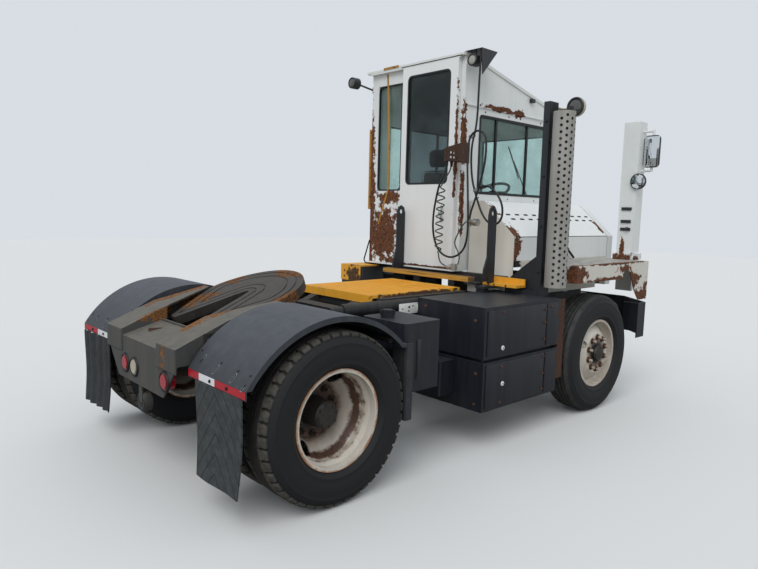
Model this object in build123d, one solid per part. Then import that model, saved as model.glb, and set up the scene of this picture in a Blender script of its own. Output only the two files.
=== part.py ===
# Terminal tractor (yard tractor), offset cab, lifting fifth-wheel boom, 4x2.
# Millimetres. +X forward, +Y left, +Z up. Origin on the ground, on the centreline, at mid length.
from build123d import *
import math
import os

os.makedirs("parts", exist_ok=True)

# Overall plan
wheelbase = 2925.0
rear_overhang = 668.0
front_overhang = 1165.0
half_width = 1219.0
rear_axle_x = (rear_overhang - wheelbase - front_overhang) / 2
front_axle_x = rear_axle_x + wheelbase

# Running clearances and seats
gap = 0.3
pin_gap = 0.3
swing_gap = 8.0

# Tyres and rims
tyre_r = 515.0
tyre_w = 279.0
bead_r = 286.0
rim_w = 210.0
rim_wall = 9.0
lip_r = 299.0
well_r = 262.0
disc_t = 12.0
outer_tyre_y = 1080.0
dual_spacing = 325.0
hub_bore_r = 40.0
axle_z = tyre_r

# Frame
rail_y = 432.0
rail_web = 10.0
rail_flange = 85.0
rail_top = 950.0
rail_bottom = 700.0
rail_front_ahead = 3930.0
rail_rear_ahead = -600.0
rail_rise_ahead = 50.0
rail_tail_drop = 120.0
cross_h = 90.0
cross_w = 70.0
cross_low = 712.0

# Guide ramps at the rear
ramp_outer_y = 533.0
ramp_inner_y = 272.0
ramp_front_inner_y = 472.0
ramp_plate = 12.0
ramp_rear_z = 895.0
ramp_mid_ahead = -340.0
ramp_mid_z = 1028.0
ramp_front_ahead = 50.0
ramp_front_z = 1112.0
ramp_side_bottom = 790.0
floor_rear_z = 852.0
floor_front_ahead = -400.0
floor_front_z = 928.0
cap_proud = 10.0
can_z = 456.0
can_r = 63.0
rear_plate_bottom = 570.0
rear_plate_half_bottom = 350.0
lamp_r = 51.0
lamp_z = 675.0

# Rear fenders and flaps
fender_inner_y = 572.0
fender_outer_y = 1200.0
fender_t = 6.0
fender_rear_ahead = -613.0
fender_rear_z = 790.0
fender_crown_ahead = 0.0
fender_crown_z = 1118.0
fender_front_ahead = 510.0
fender_front_z = 880.0
fender_lip = 28.0
fender_apron = 60.0
strip_off = 15.0
strip_inner_y = 1062.0
strip_outer_y = 1192.0
strip_bottom = 400.0
strip_t = 12.0
strip_fold = 62.0
stay_r = 17.0
flap_t = 10.0
flap_bottom = 205.0
flap_inner_y = 670.0
flap_outer_y = 1170.0

# Boom and fifth wheel
boom_pivot_ahead = 1980.0
boom_pivot_z = 955.0
boom_pin_r = 35.0
boom_tube_r = 55.0
arm_y = 260.0
arm_w = 76.0
fifth_pivot_ahead = 155.0
fifth_pivot_z = 985.0
fifth_pin_r = 25.0
fifth_front = 400.0
fifth_half = 446.0
fifth_ear = 500.0
fifth_top = 143.0
fifth_t = 42.0
fifth_rim = 62.0
fifth_tilt = 19.0
groove_w = 12.0
groove_deep = 5.0
kingpin_r = 27.0
deck_rear_ahead = 900.0
deck_bend_ahead = 1500.0
deck_front_ahead = 1935.0
deck_half = 420.0
deck_top = 1080.0
deck_t = 24.0
deck_skirt = 62.0
side_tube_r = 47.0
side_tube_y = 476.0
side_tube_z = 1000.0
cylinder_y = 120.0
cylinder_r = 50.0
cylinder_anchor_ahead = 1450.0
cylinder_anchor_z = 600.0
cylinder_eye_ahead = 700.0
cylinder_eye_z = 900.0
lift_pin_r = 20.0
eye_play = 5.0
rod_r = 28.0

# Axles and steering
rear_axle_r = 68.0
diff_r = 185.0
spindle_r = hub_bore_r - pin_gap
kingpin_y = 880.0
kingpin_post_r = 22.0
beam_end_r = 44.0
beam_end_h = 120.0
steer_arm = 200.0
gearbox_ahead = 2250.0
tie_rod_r = 17.0
front_drum_y = 990.0
spring_y = 390.0
spring_half = 560.0
spring_w = 76.0

# Side boxes and tanks
box_rear_ahead = 1285.0
box_front_ahead = 2240.0
box_outer_y = 1200.0
box_inner_y = 548.0
box_bottom = 300.0
box_top = 1055.0
box_split = 670.0
box_slot = 26.0
corner_reach = 84.0
small_box_l = 150.0
tank_rear_ahead = 548.0
tank_front_ahead = 880.0
tank_inner_y = 740.0
tank_outer_y = 1150.0
tank_bottom = 560.0
tank_top = 1008.0

# Cab
cab_rear_ahead = 2200.0
cab_front_ahead = 3920.0
cab_right_y = -165.0
cab_left_y = 1055.0
cab_base = 1185.0
cab_wall = 42.0
cab_eave = 3090.0
roof_knee_ahead = 2270.0
roof_drop = 390.0
roof_front_z = cab_eave - roof_drop
roof_t = 30.0
roof_over = 40.0
belt_z = 1905.0
window_top = cab_eave - 490.0
glass_t = 6.0
door_y0 = -118.0
door_y1 = 578.0
door_t = 38.0
door_off = 5.0
track_h = 15.0
door_bottom = 1197.0
door_top = cab_eave - track_h
seat_y = 445.0
pane_y0 = -27.0
pane_y1 = 502.0
pane_bottom = 1980.0
pane_drop = 95.0
pane_corner = 45.0
track_end_y = 1045.0
rear_window_y0 = 620.0
rear_window_y1 = 960.0
rear_window_top = 2960.0
side_window_rear_ahead = 2430.0
side_window_front_ahead = 3800.0
windshield_inset = 90.0
roof_side_over = 10.0
roof_left_over = 42.0
hinge_ear_t = 16.0
hinge_ear_gap = 68.0
cab_hinge_ahead = 3955.0
cab_hinge_z = 1150.0
cab_hinge_r = 22.0
step_rear_ahead = 1960.0
step_front_ahead = 2226.0

# Hood and right deck
hood_rear_ahead = 2330.0
hood_front_ahead = 3955.0
nose_ahead = 4070.0
hood_top = 1828.0
hood_ridge_y = -324.0
hood_crease_y = -390.0
hood_crease_drop = 43.0
hood_side_y = -675.0
hood_shoulder = 1520.0
hood_bottom = 1312.0
hood_sheet = 5.0
hood_hinge_r = 12.0
hood_pin_r = 7.0
nose_gap = 12.0
radiator_t = 110.0
deck_r_behind_stack = 178.0
stack_ahead = 2262.0
deck_r_rear_ahead = stack_ahead + deck_r_behind_stack
deck_r_front_ahead = 3750.0
deck_r_top = 1305.0
deck_r_lip = 1160.0

# Front bumper
bumper_ahead = wheelbase + front_overhang
bumper_y = 1200.0
bumper_flat_y = 840.0
bumper_bend_ahead = 3790.0
bumper_rear_ahead = 3640.0
bumper_bottom = 570.0
bumper_top = 905.0
bumper_t = 10.0
headlamp_y = 690.0
headlamp_z = 745.0
headlamp_r = 92.0

# Mirrors, their post, and the exhaust stack
mirror_proud = 16.0
mirror_reach = half_width + mirror_proud
mirror_arm = 78.0
mirror_post_w = 160.0
mirror_post_gap = 96.0
stack_y = -1132.0
stack_lamp_ahead = 2400.0
stack_lamp_r = 76.0
stack_r = 88.0
shield_t = 3.0
stack_bottom = 1135.0
stack_top = 2520.0
channel_y0 = -1038.0
channel_y1 = -982.0
channel_bottom = 1090.0
channel_top = 2605.0
shield_hole_r = 11.5
shield_row_pitch = 51.5
shield_rows = 26
shield_column_turn = 28.5
shield_columns = 6

# Hose bracket on the cab's corner and the trailer lines
bracket_tip_ahead = 1955.0
bracket_root_ahead = 2290.0
bracket_bottom = 2160.0
bracket_tip_top = 2272.0
bracket_root_top = 2342.0
bracket_flange = 75.0
bracket_t = 6.0
wing_rear_ahead = 2185.0
wing_front_ahead = 2400.0
wing_y = -348.0
wing_t = 6.0
hose_r = 9.0
air_line_r = 6.0
coil_r = 39.0


def ahead(distance):
    """X of a point that far ahead of the rear axle."""
    return rear_axle_x + distance


def block(x0, x1, y0, y1, z0, z1):
    """Box between limits."""
    size_x, size_y, size_z = abs(x1 - x0), abs(y1 - y0), abs(z1 - z0)
    centre = ((x0 + x1) / 2, (y0 + y1) / 2, (z0 + z1) / 2)
    return Pos(*centre) * Box(size_x, size_y, size_z)


def side_plate(points, y0, y1):
    """Outline in X and Z, as thick as the two Y values."""
    low, high = min(y0, y1), max(y0, y1)
    face = make_face(Polyline([(x, z) for x, z in points], close=True))
    return extrude(Plane(origin=(0, high, 0), x_dir=(1, 0, 0), z_dir=(0, -1, 0)) * face, high - low)


def cross_plate(points, x0, x1):
    """Outline in Y and Z, as thick as the two X values."""
    low, high = min(x0, x1), max(x0, x1)
    face = make_face(Polyline([(y, z) for y, z in points], close=True))
    return extrude(Plane(origin=(low, 0, 0), x_dir=(0, 1, 0), z_dir=(1, 0, 0)) * face, high - low)


def floor_plate(points, z0, z1):
    """Outline in X and Y, as thick as the two Z values."""
    face = make_face(Polyline(points, close=True))
    return extrude(Pos(0, 0, min(z0, z1)) * face, abs(z1 - z0))


def bar(start, end, radius):
    """Round bar between two points."""
    a, b = Vector(*start), Vector(*end)
    direction = b - a
    face = Plane(origin=a, z_dir=direction) * Circle(radius)
    return extrude(face, direction.length, dir=direction.normalized())


def cross_bar(x, y0, y1, z, radius):
    """Round bar along Y."""
    return bar((x, min(y0, y1), z), (x, max(y0, y1), z), radius)


def wheel_turn(points, centre_x, centre_z):
    """Body of revolution about an axis along Y. The outline holds radius and Y."""
    face = make_face(Polyline([(r, y) for r, y in points], close=True))
    turned = revolve(face, Axis.Y, 360)
    return Pos(centre_x, 0, centre_z) * turned


def mirrored(shape):
    """The same shape on the other side of the centreline."""
    return mirror(shape, Plane.XZ)


def write(name, *solids):
    """One STEP file for the node."""
    shape = solids[0] if len(solids) == 1 else Compound(children=list(solids))
    shape.label = name
    export_step(shape, f"parts/{name}.step")


def tyre(centre_y):
    """Tyre section from bead to tread, turned about the axle. Y outward of its centre plane."""
    half, bead = tyre_w / 2, rim_w / 2 - rim_wall
    profile = [
        (bead_r, -bead), (lip_r + 2, -bead), (bead_r + 40, -half + 12), (bead_r + 105, -half), (bead_r + 165, -half + 6),
        (tyre_r - 26, -half + 22), (tyre_r - 3, -half + 44), (tyre_r, -half + 60),
        (tyre_r, half - 60), (tyre_r - 3, half - 44), (tyre_r - 26, half - 22),
        (bead_r + 165, half - 6), (bead_r + 105, half), (bead_r + 40, half - 12), (lip_r + 2, bead), (bead_r, bead),
    ]
    return [(r, centre_y + y) for r, y in profile]


def rim_shell(centre_y):
    """Rim of a tubeless wheel, a closed outline about the centre plane."""
    half, wall = rim_w / 2, rim_wall
    outer = [
        (lip_r, -half), (lip_r, -half + wall), (bead_r, -half + wall), (bead_r, -half + 45),
        (well_r + wall, -half + 75), (well_r + wall, half - 75), (bead_r, half - 45),
        (bead_r, half - wall), (lip_r, half - wall), (lip_r, half),
    ]
    inner = [
        (bead_r - wall, half), (bead_r - wall, half - 48), (well_r, half - 80), (well_r, -half + 80),
        (bead_r - wall, -half + 48), (bead_r - wall, -half),
    ]
    return [(r, centre_y + y) for r, y in outer + inner]


def ring_of(shape, count, centre_x, centre_z, offset=0.0):
    """Copies of a shape turned about the wheel's axis."""
    axis = Axis((centre_x, 0, centre_z), (0, 1, 0))
    return [shape.rotate(axis, offset + 360.0 * i / count) for i in range(count)]


hub_r = 108.0
# two hand holes in each disc: radius, pitch radius and turn of the rear and front pairs
hole_r = 35.0
dish_flat_r = 170.0
rear_hole_pitch_r, rear_hole_turn = 220.0, 119.0
front_hole_pitch_r, front_hole_turn = 208.0, 207.0
stud_r = 11.0
stud_pitch_r = 142.0


def rear_wheels():
    """Left twin wheels: two tyres, and two dished rims bolted to one hub with its drum."""
    x, z = rear_axle_x, axle_z
    inner_tyre_y = outer_tyre_y - dual_spacing
    tyres = [wheel_turn(tyre(y), x, z) for y in (outer_tyre_y, inner_tyre_y)]
    rims = wheel_turn(rim_shell(outer_tyre_y), x, z) + wheel_turn(rim_shell(inner_tyre_y), x, z)
    meet = (outer_tyre_y + inner_tyre_y) / 2
    disc_edge = outer_tyre_y - rim_w / 2 + 80
    dish = [
        (stud_pitch_r - 50, meet), (dish_flat_r, meet), (well_r + 4, disc_edge),
        (well_r + 4, disc_edge + disc_t + 6), (dish_flat_r - 3, meet + disc_t),
        (stud_pitch_r - 50, meet + disc_t),
    ]
    mirror_dish = [(r, 2 * meet - y) for r, y in dish]
    discs = wheel_turn(dish, x, z) + wheel_turn(mirror_dish, x, z)
    hub_profile = [
        (hub_bore_r, meet - 190), (hub_r + 40, meet - 190), (hub_r + 40, meet - 20), (hub_r + 62, meet - 20),
        (hub_r + 62, meet - disc_t), (stud_pitch_r - 50, meet - disc_t), (stud_pitch_r - 50, meet + disc_t),
        (hub_r - 20, meet + 45), (hub_r - 26, meet + 150), (hub_r - 40, meet + 165), (0, meet + 165),
        (0, meet + 150), (hub_bore_r, meet + 150),
    ]
    hub = wheel_turn(hub_profile, x, z)
    studs = ring_of(cross_bar(x + stud_pitch_r, meet + disc_t - 1, meet + 62, z, stud_r), 10, x, z, 18)
    hole = cross_bar(x + rear_hole_pitch_r, meet - 150, meet + 150, z, hole_r)
    holes = ring_of(hole, 2, x, z, rear_hole_turn)
    wheel = rims + discs - holes
    wheel = wheel + hub + studs
    return tyres, wheel


def front_wheel():
    """Left front wheel: tyre, and one rim with its disc bulged outward, hub and drum."""
    x, z = front_axle_x, axle_z
    tyres = [wheel_turn(tyre(outer_tyre_y), x, z)]
    rim = wheel_turn(rim_shell(outer_tyre_y), x, z)
    face_y = outer_tyre_y + rim_w / 2 - 20
    dish = [
        (hub_r - 36, face_y), (dish_flat_r, face_y), (well_r + 4, face_y - 92),
        (well_r + 4, face_y - 92 + disc_t + 6), (dish_flat_r + 5, face_y + disc_t),
        (hub_r - 36, face_y + disc_t),
    ]
    disc = wheel_turn(dish, x, z)
    hub_profile = [
        (hub_bore_r, front_drum_y), (hub_r + 78, front_drum_y), (hub_r + 78, face_y - 62),
        (hub_r + 50, face_y), (hub_r - 36, face_y), (hub_r - 36, face_y + 30), (hub_r - 46, face_y + 46),
        (0, face_y + 46), (0, face_y + 30), (hub_bore_r, face_y + 30),
    ]
    hub = wheel_turn(hub_profile, x, z)
    studs = ring_of(cross_bar(x + stud_pitch_r, face_y + disc_t - 1, face_y + 52, z, stud_r), 10, x, z, 18)
    hole = cross_bar(x + front_hole_pitch_r, face_y - 110, face_y + 30, z, hole_r)
    holes = ring_of(hole, 2, x, z, front_hole_turn)
    wheel = rim + disc - holes
    wheel = wheel + hub + studs
    return tyres, wheel


def wheels():
    """Both axles' wheels, left and right."""
    rear_tyres, rear_rim = rear_wheels()
    front_tyres, front_rim = front_wheel()
    write("tyres_rear_left", *rear_tyres)
    write("tyres_rear_right", *[mirrored(t) for t in rear_tyres])
    write("rims_rear_left", rear_rim)
    write("rims_rear_right", mirrored(rear_rim))
    write("tyre_front_left", *front_tyres)
    write("tyre_front_right", *[mirrored(t) for t in front_tyres])
    write("rim_front_left", front_rim)
    write("rim_front_right", mirrored(front_rim))


def frame_rails():
    """Two channel rails, open inward, and the crossmembers between them."""
    rise_end = rail_rise_ahead
    outline = [
        (ahead(rail_rear_ahead), rail_bottom + 40), (ahead(rise_end), rail_bottom),
        (ahead(rail_front_ahead), rail_bottom), (ahead(rail_front_ahead), rail_top),
        (ahead(rise_end), rail_top), (ahead(rail_rear_ahead), rail_top - rail_tail_drop),
    ]
    t = rail_web
    pocket = [
        (ahead(rail_rear_ahead) - 1, rail_bottom + 40 + t), (ahead(rise_end), rail_bottom + t),
        (ahead(rail_front_ahead) + 1, rail_bottom + t), (ahead(rail_front_ahead) + 1, rail_top - t),
        (ahead(rise_end), rail_top - t), (ahead(rail_rear_ahead) - 1, rail_top - rail_tail_drop - t),
    ]
    rail = side_plate(outline, rail_y - rail_flange, rail_y)
    rail = rail - side_plate(pocket, rail_y - rail_flange - 1, rail_y - rail_web)
    frame = rail + mirrored(rail)
    inner = rail_y - rail_web
    for at in (-420.0, 620.0, cylinder_anchor_ahead, 2150.0, 3700.0):
        frame = frame + block(ahead(at) - cross_w / 2, ahead(at) + cross_w / 2, -inner, inner,
                              cross_low, cross_low + cross_h)
    anchor = cylinder_anchor_ahead
    # lugs that hold the lift cylinders' foot pins
    for side in (-1, 1):
        for y in (cylinder_y - 62, cylinder_y + 38):
            lug = side_plate([
                (ahead(anchor) - 40, cylinder_anchor_z - 45), (ahead(anchor) + 45, cylinder_anchor_z - 45),
                (ahead(anchor) + 60, cross_low + 1), (ahead(anchor) - 32, cross_low + 1)], side * y, side * (y + 24))
            frame = frame + lug
        frame = frame + cross_bar(ahead(anchor), side * (cylinder_y - 40), side * (cylinder_y + 40),
                                  cylinder_anchor_z, lift_pin_r)
    # boom pivot brackets on the rails, bored for the pivot tube
    for side in (-1, 1):
        x = ahead(boom_pivot_ahead)
        cheek = side_plate([
            (x - 110, rail_top - 120), (x + 110, rail_top - 120), (x + 110, rail_top), (x + 60, boom_pivot_z + 62),
            (x - 60, boom_pivot_z + 62), (x - 110, rail_top)], side * (rail_y - rail_flange - 18),
            side * (rail_y - rail_flange))
        frame = frame + cheek
    frame = frame - cross_bar(ahead(boom_pivot_ahead), -rail_y + rail_web, rail_y - rail_web,
                              boom_pivot_z, boom_pin_r + pin_gap)
    write("frame_rails", frame)


def rear_deck():
    """Guide ramps each side, the plate between them and the slanted plate with the lamp holes."""
    x_rear, x_mid, x_front = -rear_overhang, ramp_mid_ahead, ramp_front_ahead
    t = ramp_plate
    line = [(x_rear, ramp_rear_z), (x_mid, ramp_mid_z), (x_front, ramp_front_z), (x_front + 45, ramp_front_z - 22)]
    top = [(ahead(a), z) for a, z in line]
    under = [(ahead(a), z - t) for a, z in reversed(line)]
    band = side_plate(top + under, ramp_inner_y, ramp_outer_y)
    tip = x_front + 45
    trim = floor_plate([
        (ahead(x_mid - 20), ramp_inner_y - 1), (ahead(tip) + 1, ramp_front_inner_y),
        (ahead(tip) + 1, ramp_inner_y - 2)], 800, 1300)
    band = band - trim
    outer = side_plate(top + [(ahead(tip), 1000), (ahead(x_mid), 800), (ahead(x_rear), ramp_side_bottom)],
                       ramp_outer_y - t, ramp_outer_y)
    share = (x_mid - 20 - x_rear) / (x_mid - x_rear)
    inner_top = ramp_rear_z + share * (ramp_mid_z - ramp_rear_z) - t / 2
    inner = side_plate([
        (ahead(x_rear), ramp_rear_z - t / 2), (ahead(x_mid - 20), inner_top), (ahead(x_mid - 20), 830),
        (ahead(x_rear), 800)], ramp_inner_y, ramp_inner_y + t)
    ramp = band + outer + inner
    deck = ramp + mirrored(ramp)
    centre = [(x_rear, floor_rear_z), (floor_front_ahead, floor_front_z)]
    centre_top = [(ahead(a), z) for a, z in centre]
    centre_low = [(ahead(a), z - t) for a, z in reversed(centre)]
    deck = deck + side_plate(centre_top + centre_low, -ramp_inner_y, ramp_inner_y)
    face = cross_plate([
        (-ramp_outer_y, ramp_side_bottom), (-rear_plate_half_bottom, rear_plate_bottom),
        (rear_plate_half_bottom, rear_plate_bottom), (ramp_outer_y, ramp_side_bottom),
        (ramp_outer_y, ramp_rear_z - t / 2), (ramp_inner_y, ramp_rear_z - t / 2), (ramp_inner_y, 846),
        (-ramp_inner_y, 846), (-ramp_inner_y, ramp_rear_z - t / 2), (-ramp_outer_y, ramp_rear_z - t / 2)],
        ahead(x_rear), ahead(x_rear) + t)
    for y in tail_lamp_row:
        face = face - bar((ahead(x_rear) - 5, y, lamp_z), (ahead(x_rear) + t + 5, y, lamp_z), lamp_r)
    deck = deck + face
    # raised lip at the floor's front edge, and the rounded cap on each ramp's end
    lip_x = ahead(floor_front_ahead)
    deck = deck + block(lip_x - 10, lip_x, -ramp_inner_y, ramp_inner_y, floor_front_z - t, floor_front_z + 12)
    for y0 in (ramp_inner_y, -ramp_outer_y):
        cap = block(ahead(x_rear) - cap_proud, ahead(x_rear) + 1, y0, y0 + ramp_outer_y - ramp_inner_y,
                    ramp_rear_z - 150, ramp_rear_z)
        rim = cap.edges().filter_by(Axis.Z).sort_by(Axis.X)[:2] + cap.edges().filter_by(Axis.Y).sort_by(Axis.X)[:2]
        deck = deck + fillet(rim, cap_proud - 2)
    # round alarm can under the rear plate, on a strap
    can_x = ahead(x_rear) + t
    strap = block(can_x, can_x + 8, -5, 45, can_z, rear_plate_bottom + 30)
    deck = deck + strap + bar((can_x + 7, 20, can_z), (can_x + 57, 20, can_z), can_r)
    foot = block(ahead(x_rear) + t, ahead(rail_rear_ahead), rail_y - 60, rail_y, 760, 820)
    deck = deck + foot + mirrored(foot)
    write("rear_deck", deck)


# lamp centres across the rear plate
tail_lamp_row = (225.0, 75.0, -375.0)


def tail_lamps():
    """Round lamps set in grommets in the rear plate."""
    x = ahead(-rear_overhang)
    lamps = []
    for y in tail_lamp_row:
        body = bar((x - 6, y, lamp_z), (x + 46, y, lamp_z), lamp_r - gap)
        dome = bar((x - 12, y, lamp_z), (x - 6, y, lamp_z), lamp_r - 9)
        lamps.append(body + dome)
    return lamps


def fender_arc(drop):
    """Points of the fender's curve, lowered toward its centre by drop: rear, crown, front."""
    return (
        (ahead(fender_rear_ahead) + drop, fender_rear_z), (ahead(fender_crown_ahead), fender_crown_z - drop),
        (ahead(fender_front_ahead) - drop, fender_front_z))


def fender_seat(distance, depth):
    """Point a set depth under the fender's curve, at that distance ahead of the axle."""
    rear, crown, front = [Vector(x, z) for x, z in fender_arc(0)]
    circle = ThreePointArc(rear, crown, front)
    centre, radius = circle.arc_center, circle.radius - depth
    x = ahead(distance)
    return x, centre.Y + math.sqrt(radius ** 2 - (x - centre.X) ** 2)


def fender_shell(y0, y1, drop, thick):
    """Curved band between two Y values."""
    a, b, c = fender_arc(drop)
    d, e, f = fender_arc(drop + thick)
    outline = Wire([
        ThreePointArc(a, b, c), Line(c, f), ThreePointArc(f, e, d), Line(d, a)])
    face = make_face(outline)
    return extrude(Plane(origin=(0, y1, 0), x_dir=(1, 0, 0), z_dir=(0, -1, 0)) * face, y1 - y0)


# stay bars under the fender: distance ahead, seat
stay_places = ((-470.0, ramp_outer_y), (440.0, rail_y))


def rear_fenders():
    """Rolled fenders over the twin wheels with a turned-down outer edge and a rear skirt strip."""
    shell = fender_shell(fender_inner_y, fender_outer_y, 0, fender_t)
    lip = fender_shell(fender_outer_y - fender_t, fender_outer_y, fender_t - 1, fender_lip)
    x = ahead(fender_rear_ahead)
    skirt = block(x, x + fender_t, fender_inner_y, fender_outer_y - 2, 742, fender_rear_z)
    inner_lip = fender_shell(fender_inner_y, fender_inner_y + fender_t, fender_t - 1, fender_apron)
    for at, seat_y in stay_places:
        x_stay, z_stay = fender_seat(at, fender_t + stay_r + gap)
        inner_lip = inner_lip - cross_bar(x_stay, seat_y, fender_outer_y, z_stay, stay_r + gap)
    hanger_x = ahead(fender_front_ahead)
    hanger = block(hanger_x - 14, hanger_x + strip_off, strip_inner_y, strip_outer_y, fender_front_z - 8,
                   fender_front_z + 18)
    left = shell + lip + skirt + inner_lip + hanger
    write("rear_fenders", left, mirrored(left))
    stays = []
    for at, seat_y in stay_places:
        x, z = fender_seat(at, fender_t + stay_r + gap)
        reach = cross_bar(x, seat_y, fender_outer_y - 60, z, stay_r)
        pad = block(x - 30, x + 30, seat_y, seat_y + 10, z - 45, z + 45)
        stays.append(reach + pad)
    return stays + [mirrored(s) for s in stays]


def mud_flaps():
    """Rubber flaps behind the rear wheels, and the reflector strips above them."""
    x = ahead(fender_rear_ahead)
    flap = block(x - flap_t, x, flap_inner_y, flap_outer_y, flap_bottom, 745)
    # folded rubber strip that hangs from each fender's front end
    strip_x = ahead(fender_front_ahead) + strip_off + gap
    strip = block(strip_x, strip_x + strip_t, strip_inner_y, strip_outer_y, strip_bottom, fender_front_z + 14)
    strip = strip + block(strip_x, strip_x + strip_fold, strip_outer_y - strip_t, strip_outer_y, strip_bottom,
                          fender_front_z - 12)
    write("mud_flaps", flap, mirrored(flap), strip, mirrored(strip))
    tape = block(x - 3, x, fender_inner_y + 4, fender_outer_y - 4, 748, fender_rear_z - 2)
    write("reflector_strips", tape, mirrored(tape))


def rear_axle():
    """Axle tube with its drive housing, saddles up to the rails and bored-hub spindles."""
    x, z = rear_axle_x, axle_z
    meet = outer_tyre_y - dual_spacing / 2
    tube = cross_bar(x, -(meet - 200), meet - 200, z, rear_axle_r)
    spindle = cross_bar(x, -(meet + 120), meet + 120, z, spindle_r)
    bowl = wheel_turn([(0, -120), (diff_r - 60, -105), (diff_r, -45), (diff_r, 45), (diff_r - 60, 105), (0, 120)], x, z)
    nose = bar((x + 100, 0, z), (x + 330, 0, z + 25), 80) + bar((x + 330, 0, z + 25), (x + 370, 0, z + 29), 55)
    axle = tube + spindle + bowl + nose
    for side in (-1, 1):
        axle = axle + block(x - 90, x + 90, side * (rail_y - 72), side * rail_y, z, rail_bottom)
    shaft = bar((x + 360, 0, z + 28), (ahead(gearbox_ahead) - 12, 0, 650), 42)
    flange = bar((ahead(gearbox_ahead) - 18, 0, 650), (ahead(gearbox_ahead), 0, 650), 75)
    write("rear_axle", axle + shaft + flange)


def engine():
    """Engine and gearbox as one plain block between the rails, and the radiator ahead of it."""
    motor = block(ahead(2640), ahead(3450), -330, 250, 640, 1120)
    gearbox = block(ahead(gearbox_ahead), ahead(2640), -150, 150, 600, 900)
    radiator_front = ahead(hood_front_ahead) + nose_gap - gap
    radiator = block(radiator_front - radiator_t, radiator_front, hood_side_y + 60, cab_right_y - 62, 1020, 1430)
    write("engine", motor + gearbox, radiator)


def front_axle():
    """Dropped beam with round ends bored for the kingpins, and leaf springs under the rails."""
    x, z = front_axle_x, axle_z
    outline = [
        (-kingpin_y, z - 40), (-kingpin_y + 90, z - 40), (-560, z - 110), (560, z - 110), (kingpin_y - 90, z - 40),
        (kingpin_y, z - 40), (kingpin_y, z + 40), (kingpin_y - 60, z + 40), (540, z - 20), (-540, z - 20),
        (-kingpin_y + 60, z + 40), (-kingpin_y, z + 40)]
    beam = cross_plate(outline, x - 38, x + 38)
    for side in (-1, 1):
        beam = beam + Pos(x, side * kingpin_y, z) * Cylinder(beam_end_r, beam_end_h)
        beam = beam - Pos(x, side * kingpin_y, z) * Cylinder(kingpin_post_r + pin_gap, beam_end_h + 4)
    top = z - 20
    springs = []
    for side in (-1, 1):
        leaves = side_plate([
            (x - 70, top), (x + 70, top), (x + 70, top + 36), (x + spring_half, rail_bottom - 40),
            (x + spring_half, rail_bottom - 28), (x, top + 60), (x - spring_half, rail_bottom - 28),
            (x - spring_half, rail_bottom - 40), (x - 70, top + 36)],
            side * (spring_y - spring_w / 2), side * (spring_y + spring_w / 2))
        for end in (-1, 1):
            leaves = leaves + block(
                x + end * spring_half - 35, x + end * spring_half + 35, side * (spring_y - 42),
                side * (spring_y + 42), rail_bottom - 60, rail_bottom)
        springs.append(leaves)
    write("front_axle", beam, *springs)


def steering():
    """Knuckles on the kingpins, with spindles and rearward arms, and the tie rod that joins the arms."""
    x, z = front_axle_x, axle_z
    ear = 25.0
    top = z + beam_end_h / 2 + gap
    low = z - beam_end_h / 2 - gap
    y_out = kingpin_y + beam_end_r + 6
    shape = Pos(x, kingpin_y, top + ear / 2) * Cylinder(beam_end_r, ear)
    shape = shape + Pos(x, kingpin_y, low - ear / 2) * Cylinder(beam_end_r, ear)
    shape = shape + Pos(x, kingpin_y, z) * Cylinder(kingpin_post_r, beam_end_h + 2 * gap + 2)
    for z0, z1 in ((top, top + ear), (low - ear, low)):
        shape = shape + block(x - 40, x + 40, kingpin_y, y_out + 24, z0, z1)
    shape = shape + block(x - 62, x + 62, y_out, y_out + 24, low - ear, top + ear)
    shape = shape + cross_bar(x, y_out + 20, outer_tyre_y + 95, z, spindle_r)
    arm_low = low - ear
    shape = shape + block(x - steer_arm, x, kingpin_y - 22, kingpin_y + 22, arm_low, low)
    shape = shape + Pos(x - steer_arm, kingpin_y, (arm_low + low) / 2) * Cylinder(28, low - arm_low)
    ball_low = arm_low - 40
    shape = shape + Pos(x - steer_arm, kingpin_y, (ball_low + arm_low) / 2) * Cylinder(11, arm_low - ball_low)
    write("knuckle_left", shape)
    write("knuckle_right", mirrored(shape))
    rod_z = arm_low - 24
    rod = cross_bar(x - steer_arm, -kingpin_y, kingpin_y, rod_z, tie_rod_r)
    for side in (-1, 1):
        rod = rod + Pos(x - steer_arm, side * kingpin_y, rod_z) * Cylinder(24, 40)
        rod = rod - Pos(x - steer_arm, side * kingpin_y, rod_z) * Cylinder(11 + pin_gap, 44)
    write("tie_rod", rod)


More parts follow.
